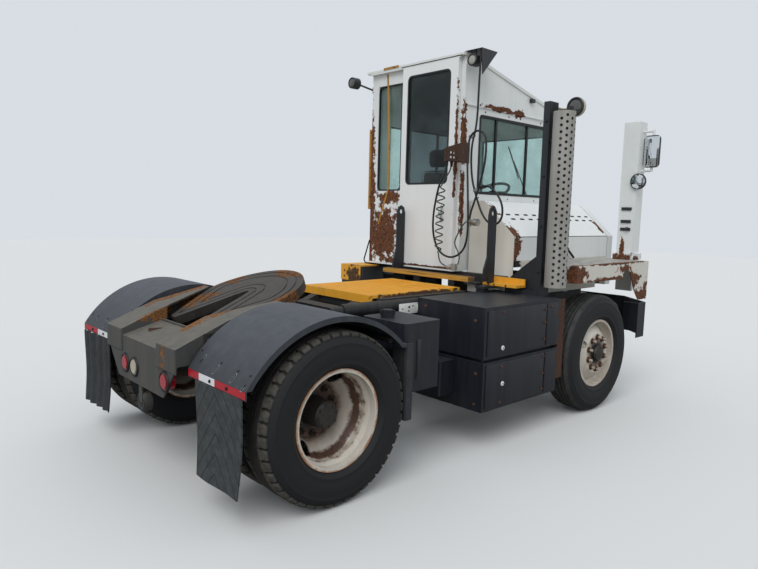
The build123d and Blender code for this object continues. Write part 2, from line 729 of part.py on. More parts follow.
def boom():
    """Two box arms on a pivot tube, joined at the fifth wheel, with the lift pins and side tubes."""
    px, pz = ahead(boom_pivot_ahead), boom_pivot_z
    fx, fz = ahead(fifth_pivot_ahead), fifth_pivot_z
    under_deck = deck_top - deck_t
    rear = ahead(deck_rear_ahead)
    arms = None
    outline = [
        (fx - 70, fz - 150), (fx + 500, fz - 150), (fx + 760, 800), (px - 120, 880), (px, pz - boom_tube_r),
        (px + boom_tube_r, pz), (px, pz + boom_tube_r), (px - 60, under_deck), (rear + deck_t, under_deck),
        (rear + deck_t, deck_top - deck_skirt), (rear - 10, deck_top - deck_skirt), (rear - 170, fz - 30), (fx + 60, fz - 30), (fx + 40, fz + 38), (fx - 40, fz + 38),
        (fx - 70, fz - 30)]
    for side in (-1, 1):
        arm = side_plate(outline, side * (arm_y - arm_w / 2), side * (arm_y + arm_w / 2))
        arms = arm if arms is None else arms + arm
    inner = arm_y - arm_w / 2
    pivot = cross_bar(px, -(rail_y - rail_flange - 20), rail_y - rail_flange - 20, pz, boom_tube_r)
    pin = cross_bar(px, -(rail_y - rail_web - 1), rail_y - rail_web - 1, pz, boom_pin_r)
    arms = arms + pivot + pin
    arms = arms + block(fx + 300, fx + 420, -inner - 1, inner + 1, fz - 140, fz - 60)
    arms = arms + block(rear + deck_t, rear + 80, -inner - 1, inner + 1, 960, under_deck)
    eye_x, eye_z = ahead(cylinder_eye_ahead), cylinder_eye_z
    # lugs and pins that take the lift rods' eyes
    for side in (-1, 1):
        for y in (cylinder_y - 62, cylinder_y + 38):
            lug = side_plate([
                (eye_x - 42, eye_z - 45), (eye_x + 42, eye_z - 45), (eye_x + 100, eye_z + 70), (eye_x - 20, eye_z + 70)],
                side * y, side * (y + 24))
            arms = arms + lug
        arms = arms + cross_bar(eye_x, side * (cylinder_y - 40), side * (cylinder_y + 40), eye_z, lift_pin_r)
    arms = arms + block(eye_x - 20, eye_x + 110, -inner - 1, inner + 1, eye_z + 60, eye_z + 80)
    arms = arms - cross_bar(fx, -arm_y - arm_w, arm_y + arm_w, fz, fifth_pin_r + pin_gap)
    write("boom_arms", arms, *boom_deck())


def boom_deck():
    """Yellow walking deck on the arms, slatted toward the front, with edge strips and side tubes."""
    rear, bend, front = ahead(deck_rear_ahead), ahead(deck_bend_ahead), ahead(deck_front_ahead)
    t = deck_t
    plate = side_plate([
        (rear, deck_top - deck_skirt), (rear + t, deck_top - deck_skirt), (rear + t, deck_top - t), (bend, deck_top - t), (front, deck_top - t),
        (front, deck_top), (rear, deck_top)], -deck_half, deck_half)
    slot_len, slot_w, pitch = 330.0, 26.0, 62.0
    count = int((front - bend - 40) // pitch)
    for i in range(count):
        x = bend + 50 + i * pitch
        for side in (-1, 1):
            plate = plate - block(x, x + slot_w, side * 30, side * (30 + slot_len), deck_top - 8, deck_top + 2)
    write("boom_deck", plate)
    pieces = []
    for side in (-1, 1):
        strip = block(rear + 60, front, side * deck_half, side * (deck_half + 66), deck_top - 34, deck_top - 24)
        tube = bar((rear - 320, side * side_tube_y, side_tube_z), (front - 20, side * side_tube_y, side_tube_z), side_tube_r)
        tube = tube + bar((rear - 430, side * side_tube_y, side_tube_z), (rear - 319, side * side_tube_y, side_tube_z), 34)
        hanger = block(rear + 120, front - 60, side * (side_tube_y - 6), side * (side_tube_y + 6),
                       side_tube_z + 30, deck_top - 30)
        pieces.append(strip + tube + hanger)
    return pieces


def fifth_wheel():
    """Coupler plate: round front, two ears each side of an open throat, on pivot ears."""
    r = fifth_front
    half = fifth_half
    ear_x, ear_out, ear_in = -fifth_ear, 232.0, 150.0
    outline = Wire([
        Line((ear_x, ear_in), (ear_x + 10, ear_out - 8)),
        Line((ear_x + 10, ear_out - 8), (-140.0, half - 38)),
        ThreePointArc((-140.0, half - 38), (-30.0, half), (60.0, half - 8)),
        ThreePointArc((60.0, half - 8), (r, 0.0), (60.0, 8 - half)),
        ThreePointArc((60.0, 8 - half), (-30.0, -half), (-140.0, 38 - half)),
        Line((-140.0, 38 - half), (ear_x + 10, -(ear_out - 8))),
        Line((ear_x + 10, -(ear_out - 8)), (ear_x, -ear_in)),
        Line((ear_x, -ear_in), (-90.0, -kingpin_r - 22)),
        Line((-90.0, -kingpin_r - 22), (-20.0, -kingpin_r)),
        ThreePointArc((-20.0, -kingpin_r), (kingpin_r - 20, 0), (-20.0, kingpin_r)),
        Line((-20.0, kingpin_r), (-90.0, kingpin_r + 22)),
        Line((-90.0, kingpin_r + 22), (ear_x, ear_in)),
    ])
    face = make_face(outline)
    plate = extrude(Pos(0, 0, fifth_top - fifth_t) * face, fifth_t)
    skirt = extrude(Pos(0, 0, fifth_top - fifth_rim) * face, fifth_rim - fifth_t + 1)
    core = extrude(Pos(0, 0, fifth_top - fifth_rim - 1) * offset(face, amount=-16), fifth_rim)
    skirt = skirt - core
    body = plate + skirt
    # grease grooves that follow the rim
    for inset in (46.0, 112.0):
        ring = offset(face, amount=-inset) - offset(face, amount=-inset - groove_w)
        body = body - extrude(Pos(0, 0, fifth_top - groove_deep) * ring, groove_deep + 2)
    ear_y = arm_y
    for side in (-1, 1):
        for dy in (-arm_w / 2 - 30, arm_w / 2 + 6):
            y = side * ear_y + dy
            lug = side_plate([(-60, fifth_top - fifth_t + 1), (60, fifth_top - fifth_t + 1), (34, -34), (-34, -34)], y, y + 24)
            body = body + lug
        pin = cross_bar(0, side * ear_y - arm_w / 2 - 28, side * ear_y + arm_w / 2 + 28, 0, fifth_pin_r)
        body = body + pin
    body = body.rotate(Axis((0, 0, 0), (0, 1, 0)), -fifth_tilt)
    body = Pos(ahead(fifth_pivot_ahead), 0, fifth_pivot_z) * body
    write("fifth_wheel", body)


def lift_cylinders():
    """Barrels from the frame's foot pins and rods up to the boom's pins."""
    ax, az = ahead(cylinder_anchor_ahead), cylinder_anchor_z
    ex, ez = ahead(cylinder_eye_ahead), cylinder_eye_z
    span = math.hypot(ex - ax, ez - az)
    ux, uz = (ex - ax) / span, (ez - az) / span
    barrel_len = span - 150
    barrels, rods = [], []
    for side in (-1, 1):
        y = side * cylinder_y
        foot = cross_bar(ax, y - 34, y + 34, az, 38)
        body = bar((ax + ux * 78, y, az + uz * 78), (ax + ux * barrel_len, y, az + uz * barrel_len), cylinder_r)
        body = body + bar((ax + ux * 20, y, az + uz * 20), (ax + ux * 80, y, az + uz * 80), 30)
        bore = bar((ax + ux * 120, y, az + uz * 120), (ax + ux * (barrel_len + 5), y, az + uz * (barrel_len + 5)),
                   rod_r + pin_gap)
        barrel = foot + body - bore
        barrel = barrel - cross_bar(ax, y - 40, y + 40, az, lift_pin_r + pin_gap)
        barrels.append(barrel)
        rod = bar((ax + ux * 300, y, az + uz * 300), (ex - ux * 20, y, ez - uz * 20), rod_r)
        eye = cross_bar(ex, y - 30, y + 30, ez, 36)
        rod = rod + eye - cross_bar(ex, y - 40, y + 40, ez, lift_pin_r + eye_play)
        rods.append(rod)
    write("lift_barrels", *barrels)
    write("lift_rods", *rods)


def side_box():
    """Stacked battery and air-tank box on the right, with its covers and bolted plates."""
    x0, x1 = ahead(box_rear_ahead), ahead(box_front_ahead)
    lower = block(x0, x1, -box_inner_y, -box_outer_y, box_bottom, box_split - box_slot / 2)
    upper = block(x0, x1, -box_inner_y, -box_outer_y, box_split + box_slot / 2, box_top)
    web = block(x0 + 30, x1 - 30, -box_inner_y, -(box_outer_y - 45), box_split - 20, box_split + 20)
    web = web + block(x0 + 80, x0 + 140, -rail_y, -box_inner_y - 1, 740, 860)
    web = web + block(x1 - 140, x1 - 80, -rail_y, -box_inner_y - 1, 740, 860)
    # corner plate at the front end, and the small box on the rear face
    corner = block(x1 - 2, x1 + 8, -box_outer_y, -box_outer_y + 300, box_bottom + 100, box_top - 8)
    corner = corner + block(x1, x1 + corner_reach, -box_outer_y, -box_outer_y + 8, box_bottom + 100, box_top - 8)
    small = block(x0 - small_box_l, x0 + 1, -930, -700, 385, 640)
    small = fillet(small.edges().filter_by(Axis.Z).sort_by(Axis.X)[:2], 14)
    write("side_box", lower + web + upper + corner + small)
    pieces = []
    for z0, z1 in ((box_bottom + 20, box_split - 30), (box_split + 30, box_top - 25)):
        for a, b in ((x0 + 30, ahead(1890)), (ahead(1905), x1 - 30)):
            pieces.append(block(a, b, -box_outer_y, -(box_outer_y + 8), z0, z1))
    write("side_box_covers", *pieces)


def tanks():
    """Hydraulic tank on the right with a two-step cap, and the fuel tank with straps on the left."""
    x0, x1 = ahead(tank_rear_ahead), ahead(tank_front_ahead)
    tank = block(x0, x1, -tank_inner_y, -tank_outer_y, tank_bottom, tank_top)
    tank = fillet(tank.edges().filter_by(Axis.Z), 22)
    cap_x, cap_y = x0 + 90, -tank_inner_y - 150
    cap = Pos(cap_x, cap_y, tank_top + 16) * Cylinder(46, 32)
    cap = cap + Pos(cap_x, cap_y, tank_top + 42) * Cylinder(36, 22)
    write("hydraulic_tank", tank + cap)
    arms = []
    for at in (x0 + 60, x1 - 90):
        arms.append(block(at, at + 40, -rail_y, -tank_inner_y, 720, 800))
    fuel = block(ahead(1100), ahead(1880), 640, 1180, 430, 960)
    fuel = fillet(fuel.edges().filter_by(Axis.X), 70)
    write("fuel_tank", fuel)
    for at in (1250, 1680):
        arms.append(block(ahead(at), ahead(at) + 60, rail_y, 640, 700, 900))
    return arms


def left_steps():
    """Steps up to the rear deck on the left, with the yellow top step."""
    x0, x1 = ahead(step_rear_ahead), ahead(step_front_ahead)
    side_a = block(x0 - 6, x0, 860, 1200, 380, 1150)
    side_b = block(x1, x1 + 6, 860, 1200, 380, 1150)
    treads = None
    for z in (400.0, 760.0):
        tread = block(x0 - 1, x1 + 1, 900, 1200, z, z + 30)
        treads = tread if treads is None else treads + tread
    hanger = block(x0 + 60, x0 + 130, rail_y, 905, 761, 789)
    write("left_steps", side_a + side_b + treads + hanger)


def hinge_lug_pairs():
    """Inner Y of each cab hinge, one near each side of the cab."""
    return (cab_right_y + 225.0, cab_left_y - 215.0)


def cab_carriers():
    """Cross beam and posts on the rails that carry the cab, the front hinge ears, and the wheel deck."""
    x0 = ahead(2238)
    top = cab_base - swing_gap
    beam = block(x0, x0 + 76, -640, 1080, 1100, top)
    for side in (-1, 1):
        beam = beam + block(x0, x0 + 76, side * (rail_y - 80), side * rail_y, rail_top, 1101)
    hx = ahead(cab_hinge_ahead)
    front = block(hx - 160, hx - 60, -rail_y, cab_left_y, rail_top, rail_top + 60)
    for y in hinge_lug_pairs():
        for dy in (0.0, hinge_ear_t + hinge_ear_gap):
            ear = side_plate([
                (hx - 150, rail_top + 59), (hx - 61, rail_top + 59), (hx + 30, cab_hinge_z - 20),
                (hx + 30, cab_hinge_z + 25), (hx - 30, cab_hinge_z + 25), (hx - 150, rail_top + 120)],
                y + dy, y + dy + hinge_ear_t)
            front = front + ear
        front = front - cross_bar(hx, y - 2, y + 102, cab_hinge_z, cab_hinge_r + pin_gap)
    deck = block(ahead(2440), ahead(3600), 640, half_width, 1110, 1160)
    deck = deck + block(ahead(2330), ahead(2441), 640, half_width, 1000, 1160)
    for at in (2500.0, 3480.0):
        deck = deck + block(ahead(at), ahead(at) + 70, rail_y - 80, 700, rail_top, 1111)
    write("cab_carriers", beam, front, deck)


def catwalk():
    """Plank and yellow steps behind the cab, and the two black uprights with flared feet."""
    x = ahead(2080)
    plank = block(x - 110, x - 24, -474, 590, 1130, 1170)
    write("plank", plank)
    yellow = block(ahead(2100), ahead(2232), -875, -530, 1108, 1128)
    yellow = yellow + block(ahead(2220), ahead(2232), -875, -530, 1127, 1176)
    xa, xb = ahead(step_rear_ahead), ahead(step_front_ahead)
    left = block(xa - 12, xb + 6, 905, 1210, 1150, 1162)
    left = left + block(xa - 12, xa - 6, 905, 1210, 1000, 1151)
    write("yellow_steps", yellow, left)
    # crossbars carry plank and uprights between the rails and the cab beam
    carriers = [
        block(ahead(1962), ahead(2238), 440, 560, 1112, 1130), block(ahead(1962), ahead(2238), -660, -560, 1090, 1108),
        block(ahead(1962), ahead(2056), -560, -440, 1112, 1130)]
    posts = []
    for y, low in ((487.0, 1130.0), (-610.0, 1128.0)):
        outline = [
            (ahead(2060), low), (ahead(2142), low), (ahead(2142), 1700), (ahead(2127), 1755), (ahead(2092), 1775),
            (ahead(2057), 1755), (ahead(2042), 1700), (ahead(2042), 1350), (ahead(2000), 1240), (ahead(2000), 1176),
            (ahead(2060), 1176)]
        post = side_plate(outline, y - 8, y + 8)
        post = post - cross_bar(ahead(2092), y - 10, y + 10, 1715, 22)
        posts.append(post)
    write("cab_posts", *posts, *carriers)


def cab_profile(inset):
    """Side view of the cab body, inset by a wall."""
    return [
        (ahead(cab_rear_ahead) + inset, cab_base + inset), (ahead(cab_rear_ahead) + inset, cab_eave - inset),
        (ahead(roof_knee_ahead), cab_eave - inset), (ahead(cab_front_ahead) - inset, roof_front_z - inset),
        (ahead(cab_front_ahead) - inset, cab_base + inset)]


def cab():
    """Cab body: hollow shell with window and door openings, floor, roof cap, glass and fittings."""
    shell = side_plate(cab_profile(0), cab_right_y, cab_left_y)
    shell = shell - side_plate(cab_profile(cab_wall), cab_right_y + cab_wall, cab_left_y - cab_wall)
    xr, xf = ahead(cab_rear_ahead), ahead(cab_front_ahead)
    window_x0, window_x1 = ahead(side_window_rear_ahead), ahead(side_window_front_ahead)
    side_window = [
        (window_x0, belt_z), (window_x1, belt_z), (window_x1, window_top - 30), (window_x1 - 140, window_top),
        (window_x0, window_top)]
    for y in (cab_right_y, cab_left_y):
        shell = shell - side_plate(side_window, y - cab_wall - 2, y + cab_wall + 2)
    windshield = (cab_right_y + windshield_inset, cab_left_y - windshield_inset, belt_z + 20, window_top - 20)
    shell = shell - block(xf - 100, xf + 60, *windshield)
    doorway = (pane_y0 - 20, door_y1 - 55, door_bottom + 45, door_top - 60)
    shell = shell - block(xr - 5, xr + 60, *doorway)
    rear_window = (rear_window_y0, rear_window_y1, belt_z + 15, rear_window_top)
    shell = shell - block(xr - 5, xr + 60, *rear_window)
    hx = ahead(cab_hinge_ahead)
    for y in hinge_lug_pairs():
        arm = side_plate([
            (xf - 120, cab_base + 1), (xf - 120, cab_base - 40), (hx - 25, cab_hinge_z - 25), (hx + 25, cab_hinge_z - 25),
            (hx + 25, cab_hinge_z + 28), (xf, cab_base + 1)], y + 18, y + 82)
        shell = shell + arm + cross_bar(hx, y, y + 100, cab_hinge_z, cab_hinge_r)
    for z in (door_bottom - gap - track_h, door_top + gap):
        shell = shell + block(xr - door_off - door_t, xr + 1, door_y0 - 15, track_end_y, z, min(z + track_h, cab_eave))
    write("cab_shell", shell)
    knee = ahead(roof_knee_ahead)
    slope = (cab_eave - roof_front_z) / (xf - knee)
    brow = cab_eave - slope * (xf + roof_over - knee)
    rear = xr - door_off - door_t - 2
    profile = [
        (rear, cab_eave), (rear, cab_eave + roof_t - 8), (rear + 14, cab_eave + roof_t),
        (knee, cab_eave + roof_t), (xf + roof_over, brow + roof_t), (xf + roof_over, brow), (knee, cab_eave)]
    roof = side_plate(profile, cab_right_y - roof_side_over, cab_left_y + roof_left_over)
    write("cab_roof", roof)
    panes = []
    mid = cab_wall / 2
    for y in (cab_right_y + mid, cab_left_y - mid):
        panes.append(side_plate(side_window, y - glass_t / 2, y + glass_t / 2))
    panes.append(block(xf - mid - glass_t / 2, xf - mid + glass_t / 2, *windshield))
    panes.append(block(xr + mid - glass_t / 2, xr + mid + glass_t / 2, *rear_window))
    write("cab_glass", *panes)


def rear_door():
    """Sliding door on the outside of the rear wall, and its pane."""
    x1 = ahead(cab_rear_ahead) - door_off
    x0 = x1 - door_t
    leaf = block(x0, x1, door_y0, door_y1, door_bottom, door_top)
    opening = (pane_y0, pane_y1, pane_bottom, door_top - pane_drop + 10)
    pane_cut = block(x0 - 2, x1 + 2, *opening)
    pane_cut = fillet(pane_cut.edges().filter_by(Axis.X), pane_corner)
    write("rear_door", leaf - pane_cut)
    pane = block(x0 + 14, x0 + 14 + glass_t, *opening)
    pane = fillet(pane.edges().filter_by(Axis.X), pane_corner)
    write("rear_door_glass", pane)


def cab_inside():
    """Seat on its pedestal, dash and the steering wheel on its column."""
    floor = cab_base + cab_wall
    cx, cy = ahead(2900), seat_y
    pedestal = block(cx - 170, cx + 170, cy - 170, cy + 170, floor, floor + 330)
    cushion = block(cx - 250, cx + 250, cy - 250, cy + 250, floor + 330 + gap, floor + 450)
    cushion = fillet(cushion.edges(), 30)
    back = block(cx - 370, cx - 250 - gap, cy - 235, cy + 235, floor + 345, floor + 1130)
    back = fillet(back.edges(), 40)
    write("seat_cushions", cushion, back)
    xf = ahead(cab_front_ahead) - cab_wall
    dash = side_plate([(xf - 300, 1740), (xf - 330, 1830), (xf - 200, 1900), (xf, 1900), (xf, 1500), (xf - 120, 1500)],
                      cab_right_y + cab_wall, cab_left_y - cab_wall)
    write("cab_inside", pedestal, dash)
    sx, sz = ahead(3410), 1950
    wheel = Plane(origin=(sx, cy, sz), z_dir=(-0.5, 0, 0.866)) * Torus(215, 15)
    column = bar((sx, cy, sz), (xf - 250, cy, 1780), 26)
    spoke = bar((sx, cy - 212, sz), (sx, cy + 212, sz), 12)
    write("steering_wheel", (wheel + spoke + column) - dash)


def hood():
    """Engine cover: sloped panel, hinged along its inner top edge, with the nose and the bulkhead."""
    x0, x1 = ahead(hood_rear_ahead), ahead(hood_front_ahead)
    inner_y = cab_right_y - 22
    t = hood_sheet
    crease_z = hood_top - hood_crease_drop
    top_line = [(inner_y, hood_top), (hood_ridge_y, hood_top), (hood_crease_y, crease_z), (hood_side_y, hood_shoulder)]
    under_line = [(hood_side_y + t, hood_shoulder - 4), (hood_crease_y + 2, crease_z - t - 1),
                  (hood_ridge_y + 1, hood_top - t), (inner_y, hood_top - t)]
    section = top_line + [(hood_side_y, hood_bottom), (hood_side_y + t, hood_bottom)] + under_line
    cover = cross_plate(section, x0 + 6, x1)
    hinge_y, hinge_z = inner_y - hood_hinge_r, hood_top - hood_hinge_r
    cover = cover + bar((x0 + 6, hinge_y, hinge_z), (x1, hinge_y, hinge_z), hood_hinge_r)
    cover = cover + bar((x0 - 6, hinge_y, hinge_z), (x1 + 20, hinge_y, hinge_z), hood_pin_r)
    write("hood", cover)
    pin_hole = bar((x0 - 14, hinge_y, hinge_z), (x1 + 30, hinge_y, hinge_z), hood_pin_r + pin_gap)
    nose_low, grille_low, bar_pitch, bar_h = 1015, 1060, 42, 10
    nose = top_line + [(hood_side_y, nose_low), (inner_y, nose_low)]
    xa, xb = x1 + nose_gap, ahead(nose_ahead)
    grille = cross_plate(nose, xa, xb)
    grille = grille - block(xb - 60, xb + 5, hood_side_y + 60, inner_y - 60, grille_low, hood_shoulder - 40)
    for i in range(9):
        z = grille_low + 30 + i * bar_pitch
        grille = grille + block(xb - 62, xb - 6, hood_side_y + 59, inner_y - 59, z, z + bar_h)
    write("nose", grille - pin_hole)
    wall_outline = top_line + [(hood_side_y, 1000), (inner_y, 1000)]
    return cross_plate(wall_outline, x0 - 12, x0) - pin_hole


def right_deck(bulkhead):
    """White front fender deck on the right, its side lip arched over the tyre, rear face and front lobe."""
    x0, x1 = ahead(deck_r_rear_ahead), ahead(deck_r_front_ahead)
    y_in, y_out = hood_side_y, -half_width
    t = 8
    low = deck_r_top - 360
    deck = block(x0, x1, y_in, y_out, deck_r_top - t, deck_r_top)
    # side lip: the arch rises over the tyre and drops to the front lobe
    lip = side_plate([
        (x0, deck_r_lip), (ahead(3250), deck_r_lip), (ahead(3240), deck_r_lip + 45), (ahead(3295), deck_r_lip + 83),
        (ahead(3377), deck_r_lip + 60), (ahead(3430), deck_r_lip - 18), (ahead(3484), deck_r_lip - 115),
        (ahead(3580), low), (x1, low), (x1, deck_r_top), (x0, deck_r_top)], y_out, y_out + t)
    rear = block(x0, x0 + t, y_in, y_out, deck_r_lip, deck_r_top)
    inner = block(x0, x1, y_in - t, y_in, 1000, hood_bottom - gap)
    inner = inner + block(x0, ahead(hood_front_ahead), y_in - t, y_in + 16, 1280, hood_bottom - gap)
    deck = deck + lip + rear + inner
    # feet and legs down to the right rail
    for at in (x0 + 100, x1 - 260):
        deck = deck + block(at, at + 60, -rail_y, y_in, 1000, 1060)
        deck = deck + block(at, at + 60, -rail_y + 80, -rail_y - 60, rail_top, 1001)
    write("right_deck", deck, bulkhead)


def stack_lamp():
    """Round lamp that faces the rear from an arm on the stack's post."""
    x, y, z = ahead(stack_lamp_ahead), -(mirror_reach - 2 - stack_lamp_r), 2570.0
    shell = bar((x - 26, y, z), (x + 14, y, z), stack_lamp_r)
    shell = fillet(shell.edges().sort_by(Axis.X)[-1:], 12)
    shell = shell + bar((x + 10, y, z), (x + 34, y, z), 22)
    arm = bar((x + 24, y, z), (x + 24, channel_y0 + 20, z), 9)
    return shell + arm + bar((x + 24, channel_y0 + 20, z), (ahead(stack_ahead) - 50, channel_y0 + 20, z), 9)


def bumper(lamps):
    """Front bumper with swept and wrapped ends, carried by the rail tips, and the two headlamps."""
    front, bend, rear = ahead(bumper_ahead), ahead(bumper_bend_ahead), ahead(bumper_rear_ahead)
    t = bumper_t
    beam = None
    for side in (-1, 1):
        plan = [
            (front, 0), (front, side * bumper_flat_y), (bend, side * bumper_y), (rear, side * bumper_y),
            (rear, side * (bumper_y - t)), (bend - 4, side * (bumper_y - t)),
            (front - t, side * (bumper_flat_y - 4)), (front - t, 0)]
        half = floor_plate(plan, bumper_bottom, bumper_top)
        half = half + block(rear, rear + t, side * bumper_y, side * (bumper_y - 150), bumper_bottom + 60, bumper_top)
        bracket = block(ahead(rail_front_ahead), front - t + 1, side * (rail_y - rail_flange), side * rail_y,
                        rail_bottom + 10, bumper_top - 5)
        half = half + bracket
        beam = half if beam is None else beam + half
    for side in (-1, 1):
        y = side * headlamp_y
        beam = beam - bar((front - 20, y, headlamp_z), (front + 5, y, headlamp_z), headlamp_r)
        lamps.append(bar((front - 90, y, headlamp_z), (front - gap, y, headlamp_z), headlamp_r - gap))
    write("front_bumper", beam)
    write("road_lamps", *lamps, stack_lamp())


def mirror_post():
    """White post on the right deck with its flared foot, brackets and the two mirrors."""
    x0, x1 = ahead(3720), ahead(3860)
    mx, my = ahead(3800), -(mirror_reach - mirror_arm)
    y0 = my + mirror_post_gap
    y1 = y0 + mirror_post_w
    z0 = deck_r_top
    post = block(x0, x1, y0, y1, z0 + 60, 2620)
    foot = block(x0 - 30, x1 + 20, y0 - 20, y1 + 20, z0, z0 + 61)
    foot = foot + block(ahead(deck_r_front_ahead), ahead(3790), y0, y1, 1000, z0 + 1)
    arms = bar((mx, y0 + 2, 2530), (mx, my, 2530), 10) + bar((mx, y0 + 2, 2160), (mx, my, 2160), 10)
    arms = arms + bar((mx, my, 2150), (mx, my, 2540), 12)
    tab = block(x0 - 5 - gap, x0 + 20, y0 - 25, y0 + 1, 2050, 2064)
    write("mirror_post", post + foot + arms + tab)
    flat = block(mx - 26, mx - 12 - gap, -mirror_reach, -mirror_reach + 2 * mirror_arm, 2190, 2490)
    flat = fillet(flat.edges().filter_by(Axis.X), 40)
    convex = bar((x0 - 25, y0 - 20, 2057), (x0 - 5 - gap, y0 - 20, 2057), 75)
    write("right_mirrors", flat, convex)


def stack_shield():
    """Half-round heat shield rolled round the muffler, pierced by a staggered pattern of round holes."""
    x, height = ahead(stack_ahead), stack_top - stack_bottom
    mid_z = (stack_bottom + stack_top) / 2
    sheet = Cylinder(stack_r, height) - Cylinder(stack_r - shield_t, height + 4)
    sheet = Pos(x, stack_y, mid_z) * sheet
    sheet = sheet - block(x - 200, x + 200, stack_y + 60, stack_y + 200, stack_bottom - 10, stack_top + 10)
    first_z = mid_z - shield_row_pitch * (shield_rows - 1) / 2
    for column in range(shield_columns):
        angle = math.radians(-90 + shield_column_turn * (column - (shield_columns - 1) / 2))
        out_x, out_y = math.cos(angle) * (stack_r + 5), math.sin(angle) * (stack_r + 5)
        in_x, in_y = math.cos(angle) * (stack_r - 12), math.sin(angle) * (stack_r - 12)
        stagger = shield_row_pitch / 4 * (1 if column % 2 else -1)
        drills = []
        for row in range(shield_rows):
            z = first_z + row * shield_row_pitch + stagger
            drills.append(bar((x + in_x, stack_y + in_y, z), (x + out_x, stack_y + out_y, z), shield_hole_r))
        sheet = sheet - drills
    write("stack_shield", sheet)


def stack():
    """Black channel post and the muffler pipe on the right, with the bands that hold its shield."""
    x = ahead(stack_ahead)
    outline = [(channel_y0, channel_bottom), (channel_y1, channel_bottom), (channel_y1, channel_top),
               (channel_y0, channel_top)]
    post = cross_plate(outline, x - 60, x + 60)
    post = post - block(x - 50, x + 62, channel_y0 + 8, channel_y1 - 8, channel_bottom + 10, channel_top - 10)
    gusset = cross_plate([(channel_y1 - 1, channel_bottom), (-700, channel_bottom), (-700, 1180), (channel_y1 - 1, 1400)],
                         x - 4, x + 4)
    foot = block(x - 60, x + 60, channel_y0, -690, box_top, channel_bottom + 1)
    write("stack_post", post + gusset + foot)
    pipe = Pos(x, stack_y, (stack_bottom + stack_top) / 2) * Cylinder(72, stack_top - stack_bottom - 20)
    tail = bar((x, stack_y, stack_top - 12), (x, stack_y, stack_top + 14), 50)
    muffler = pipe + tail
    for z in (1300, 2300):
        muffler = muffler + Pos(x, stack_y, z) * Cylinder(stack_r - shield_t - gap, 20)
        muffler = muffler + block(x - 30, x + 30, stack_y, channel_y0, z - 10, z + 10)
    write("muffler", muffler)
    stack_shield()


def cab_fittings():
    """Grab handle, left mirrors, work lamps and the roof wing that shades the right lamp."""
    z0, z1 = 1735, 2554
    x = ahead(2240)
    bar_y = cab_left_y + 62
    handle = bar((x, bar_y, z0), (x, bar_y, z1), 14)
    for z in (z0 + 14, z1 - 14):
        handle = handle + cross_bar(x, cab_left_y, bar_y, z, 12)
    xm = ahead(cab_front_ahead) + 80
    my = mirror_reach - mirror_arm
    arms = bar((xm, my, 1980), (xm, my, 2540), 12)
    for z in (2530, 2160):
        arms = arms + bar((ahead(cab_front_ahead) - 20, cab_left_y - 40, z), (xm, my, z), 10)
    arms = arms - block(ahead(cab_front_ahead) - 200, ahead(cab_front_ahead), 700, cab_left_y, 1900, 2600)
    write("cab_handles", handle, arms)
    flat = block(xm - 26, xm - 12 - gap, mirror_reach - 2 * mirror_arm, mirror_reach, 2190, 2490)
    flat = fillet(flat.edges().filter_by(Axis.X), 40)
    convex = bar((xm - 32, my, 2057), (xm - 12 - gap, my, 2057), 75)
    write("left_mirrors", flat, convex)
    roof_top = cab_eave + roof_t
    wing_x0, wing_x1 = ahead(wing_rear_ahead), ahead(wing_front_ahead)
    wing = block(wing_x0, wing_x1, cab_right_y + 20, wing_y, roof_top, roof_top + wing_t)
    flange = side_plate([
        (wing_x0, roof_top + 1), (wing_x1, roof_top + 1), (wing_x0 + 20, roof_top - 215)], wing_y, wing_y + wing_t)
    lamp_x, lamp_y, lamp_z = ahead(2165), -261.0, roof_top - 88
    arm = bar((wing_x0 + 30, lamp_y, roof_top + 1), (wing_x0 + 30, lamp_y, lamp_z), 9)
    lamp = bar((lamp_x, lamp_y, lamp_z), (wing_x0 + 50, lamp_y, lamp_z), 50)
    bracket_z = 2940.0
    left_x, left_y, left_z = ahead(2040), cab_left_y + 112, 3000.0
    left = block(ahead(2205), ahead(2255), cab_left_y, cab_left_y + 14, bracket_z - 30, bracket_z + 30)
    left = left + bar((ahead(2230), cab_left_y + 11, bracket_z), (left_x + 40, left_y, left_z), 9)
    left = left + bar((left_x - 30, left_y, left_z), (left_x + 45, left_y, left_z), 55)
    write("work_lamps", wing + flange + arm + lamp, left)


def hose_bracket():
    """Perforated steel arm bolted to the cab's right wall, with a bottom flange the lines hang from."""
    x0, x1 = ahead(bracket_tip_ahead), ahead(bracket_root_ahead)
    y1 = cab_right_y
    y0 = y1 - bracket_t
    web = side_plate([
        (x0, bracket_bottom), (x1, bracket_bottom), (x1, bracket_root_top), (ahead(cab_rear_ahead), bracket_root_top),
        (x0, bracket_tip_top)], y0, y1)
    flange = block(x0, ahead(2150), y0 + 1, y1 - bracket_flange, bracket_bottom, bracket_bottom + bracket_t)
    arm = web + flange
    for column in range(4):
        for row in range(2):
            x = x0 + 42 + column * 42
            z = bracket_bottom + 38 + row * 40
            arm = arm - cross_bar(x, y0 - 2, y1 + 2, z, 11)
    write("hose_bracket", arm)


def line_path(points):
    """Smooth centre line: straight runs joined by arcs as round as the runs allow."""
    knots = [Vector(ahead(x), y, z) for x, y, z in points]
    runs = [b - a for a, b in zip(knots, knots[1:])]
    radii = []
    for first, second in zip(runs, runs[1:]):
        half_turn = math.radians(first.get_angle(second)) / 2
        radii.append(0.45 * min(first.length, second.length) / math.tan(half_turn))
    print("bend radii", [round(r) for r in radii])
    return FilletPolyline(*knots, radius=radii), runs[0]


def line_tube(points, radius):
    """Round hose along a route."""
    path, first = line_path(points)
    start = Plane(origin=path @ 0, z_dir=first)
    return sweep(start * Circle(radius), path=path)


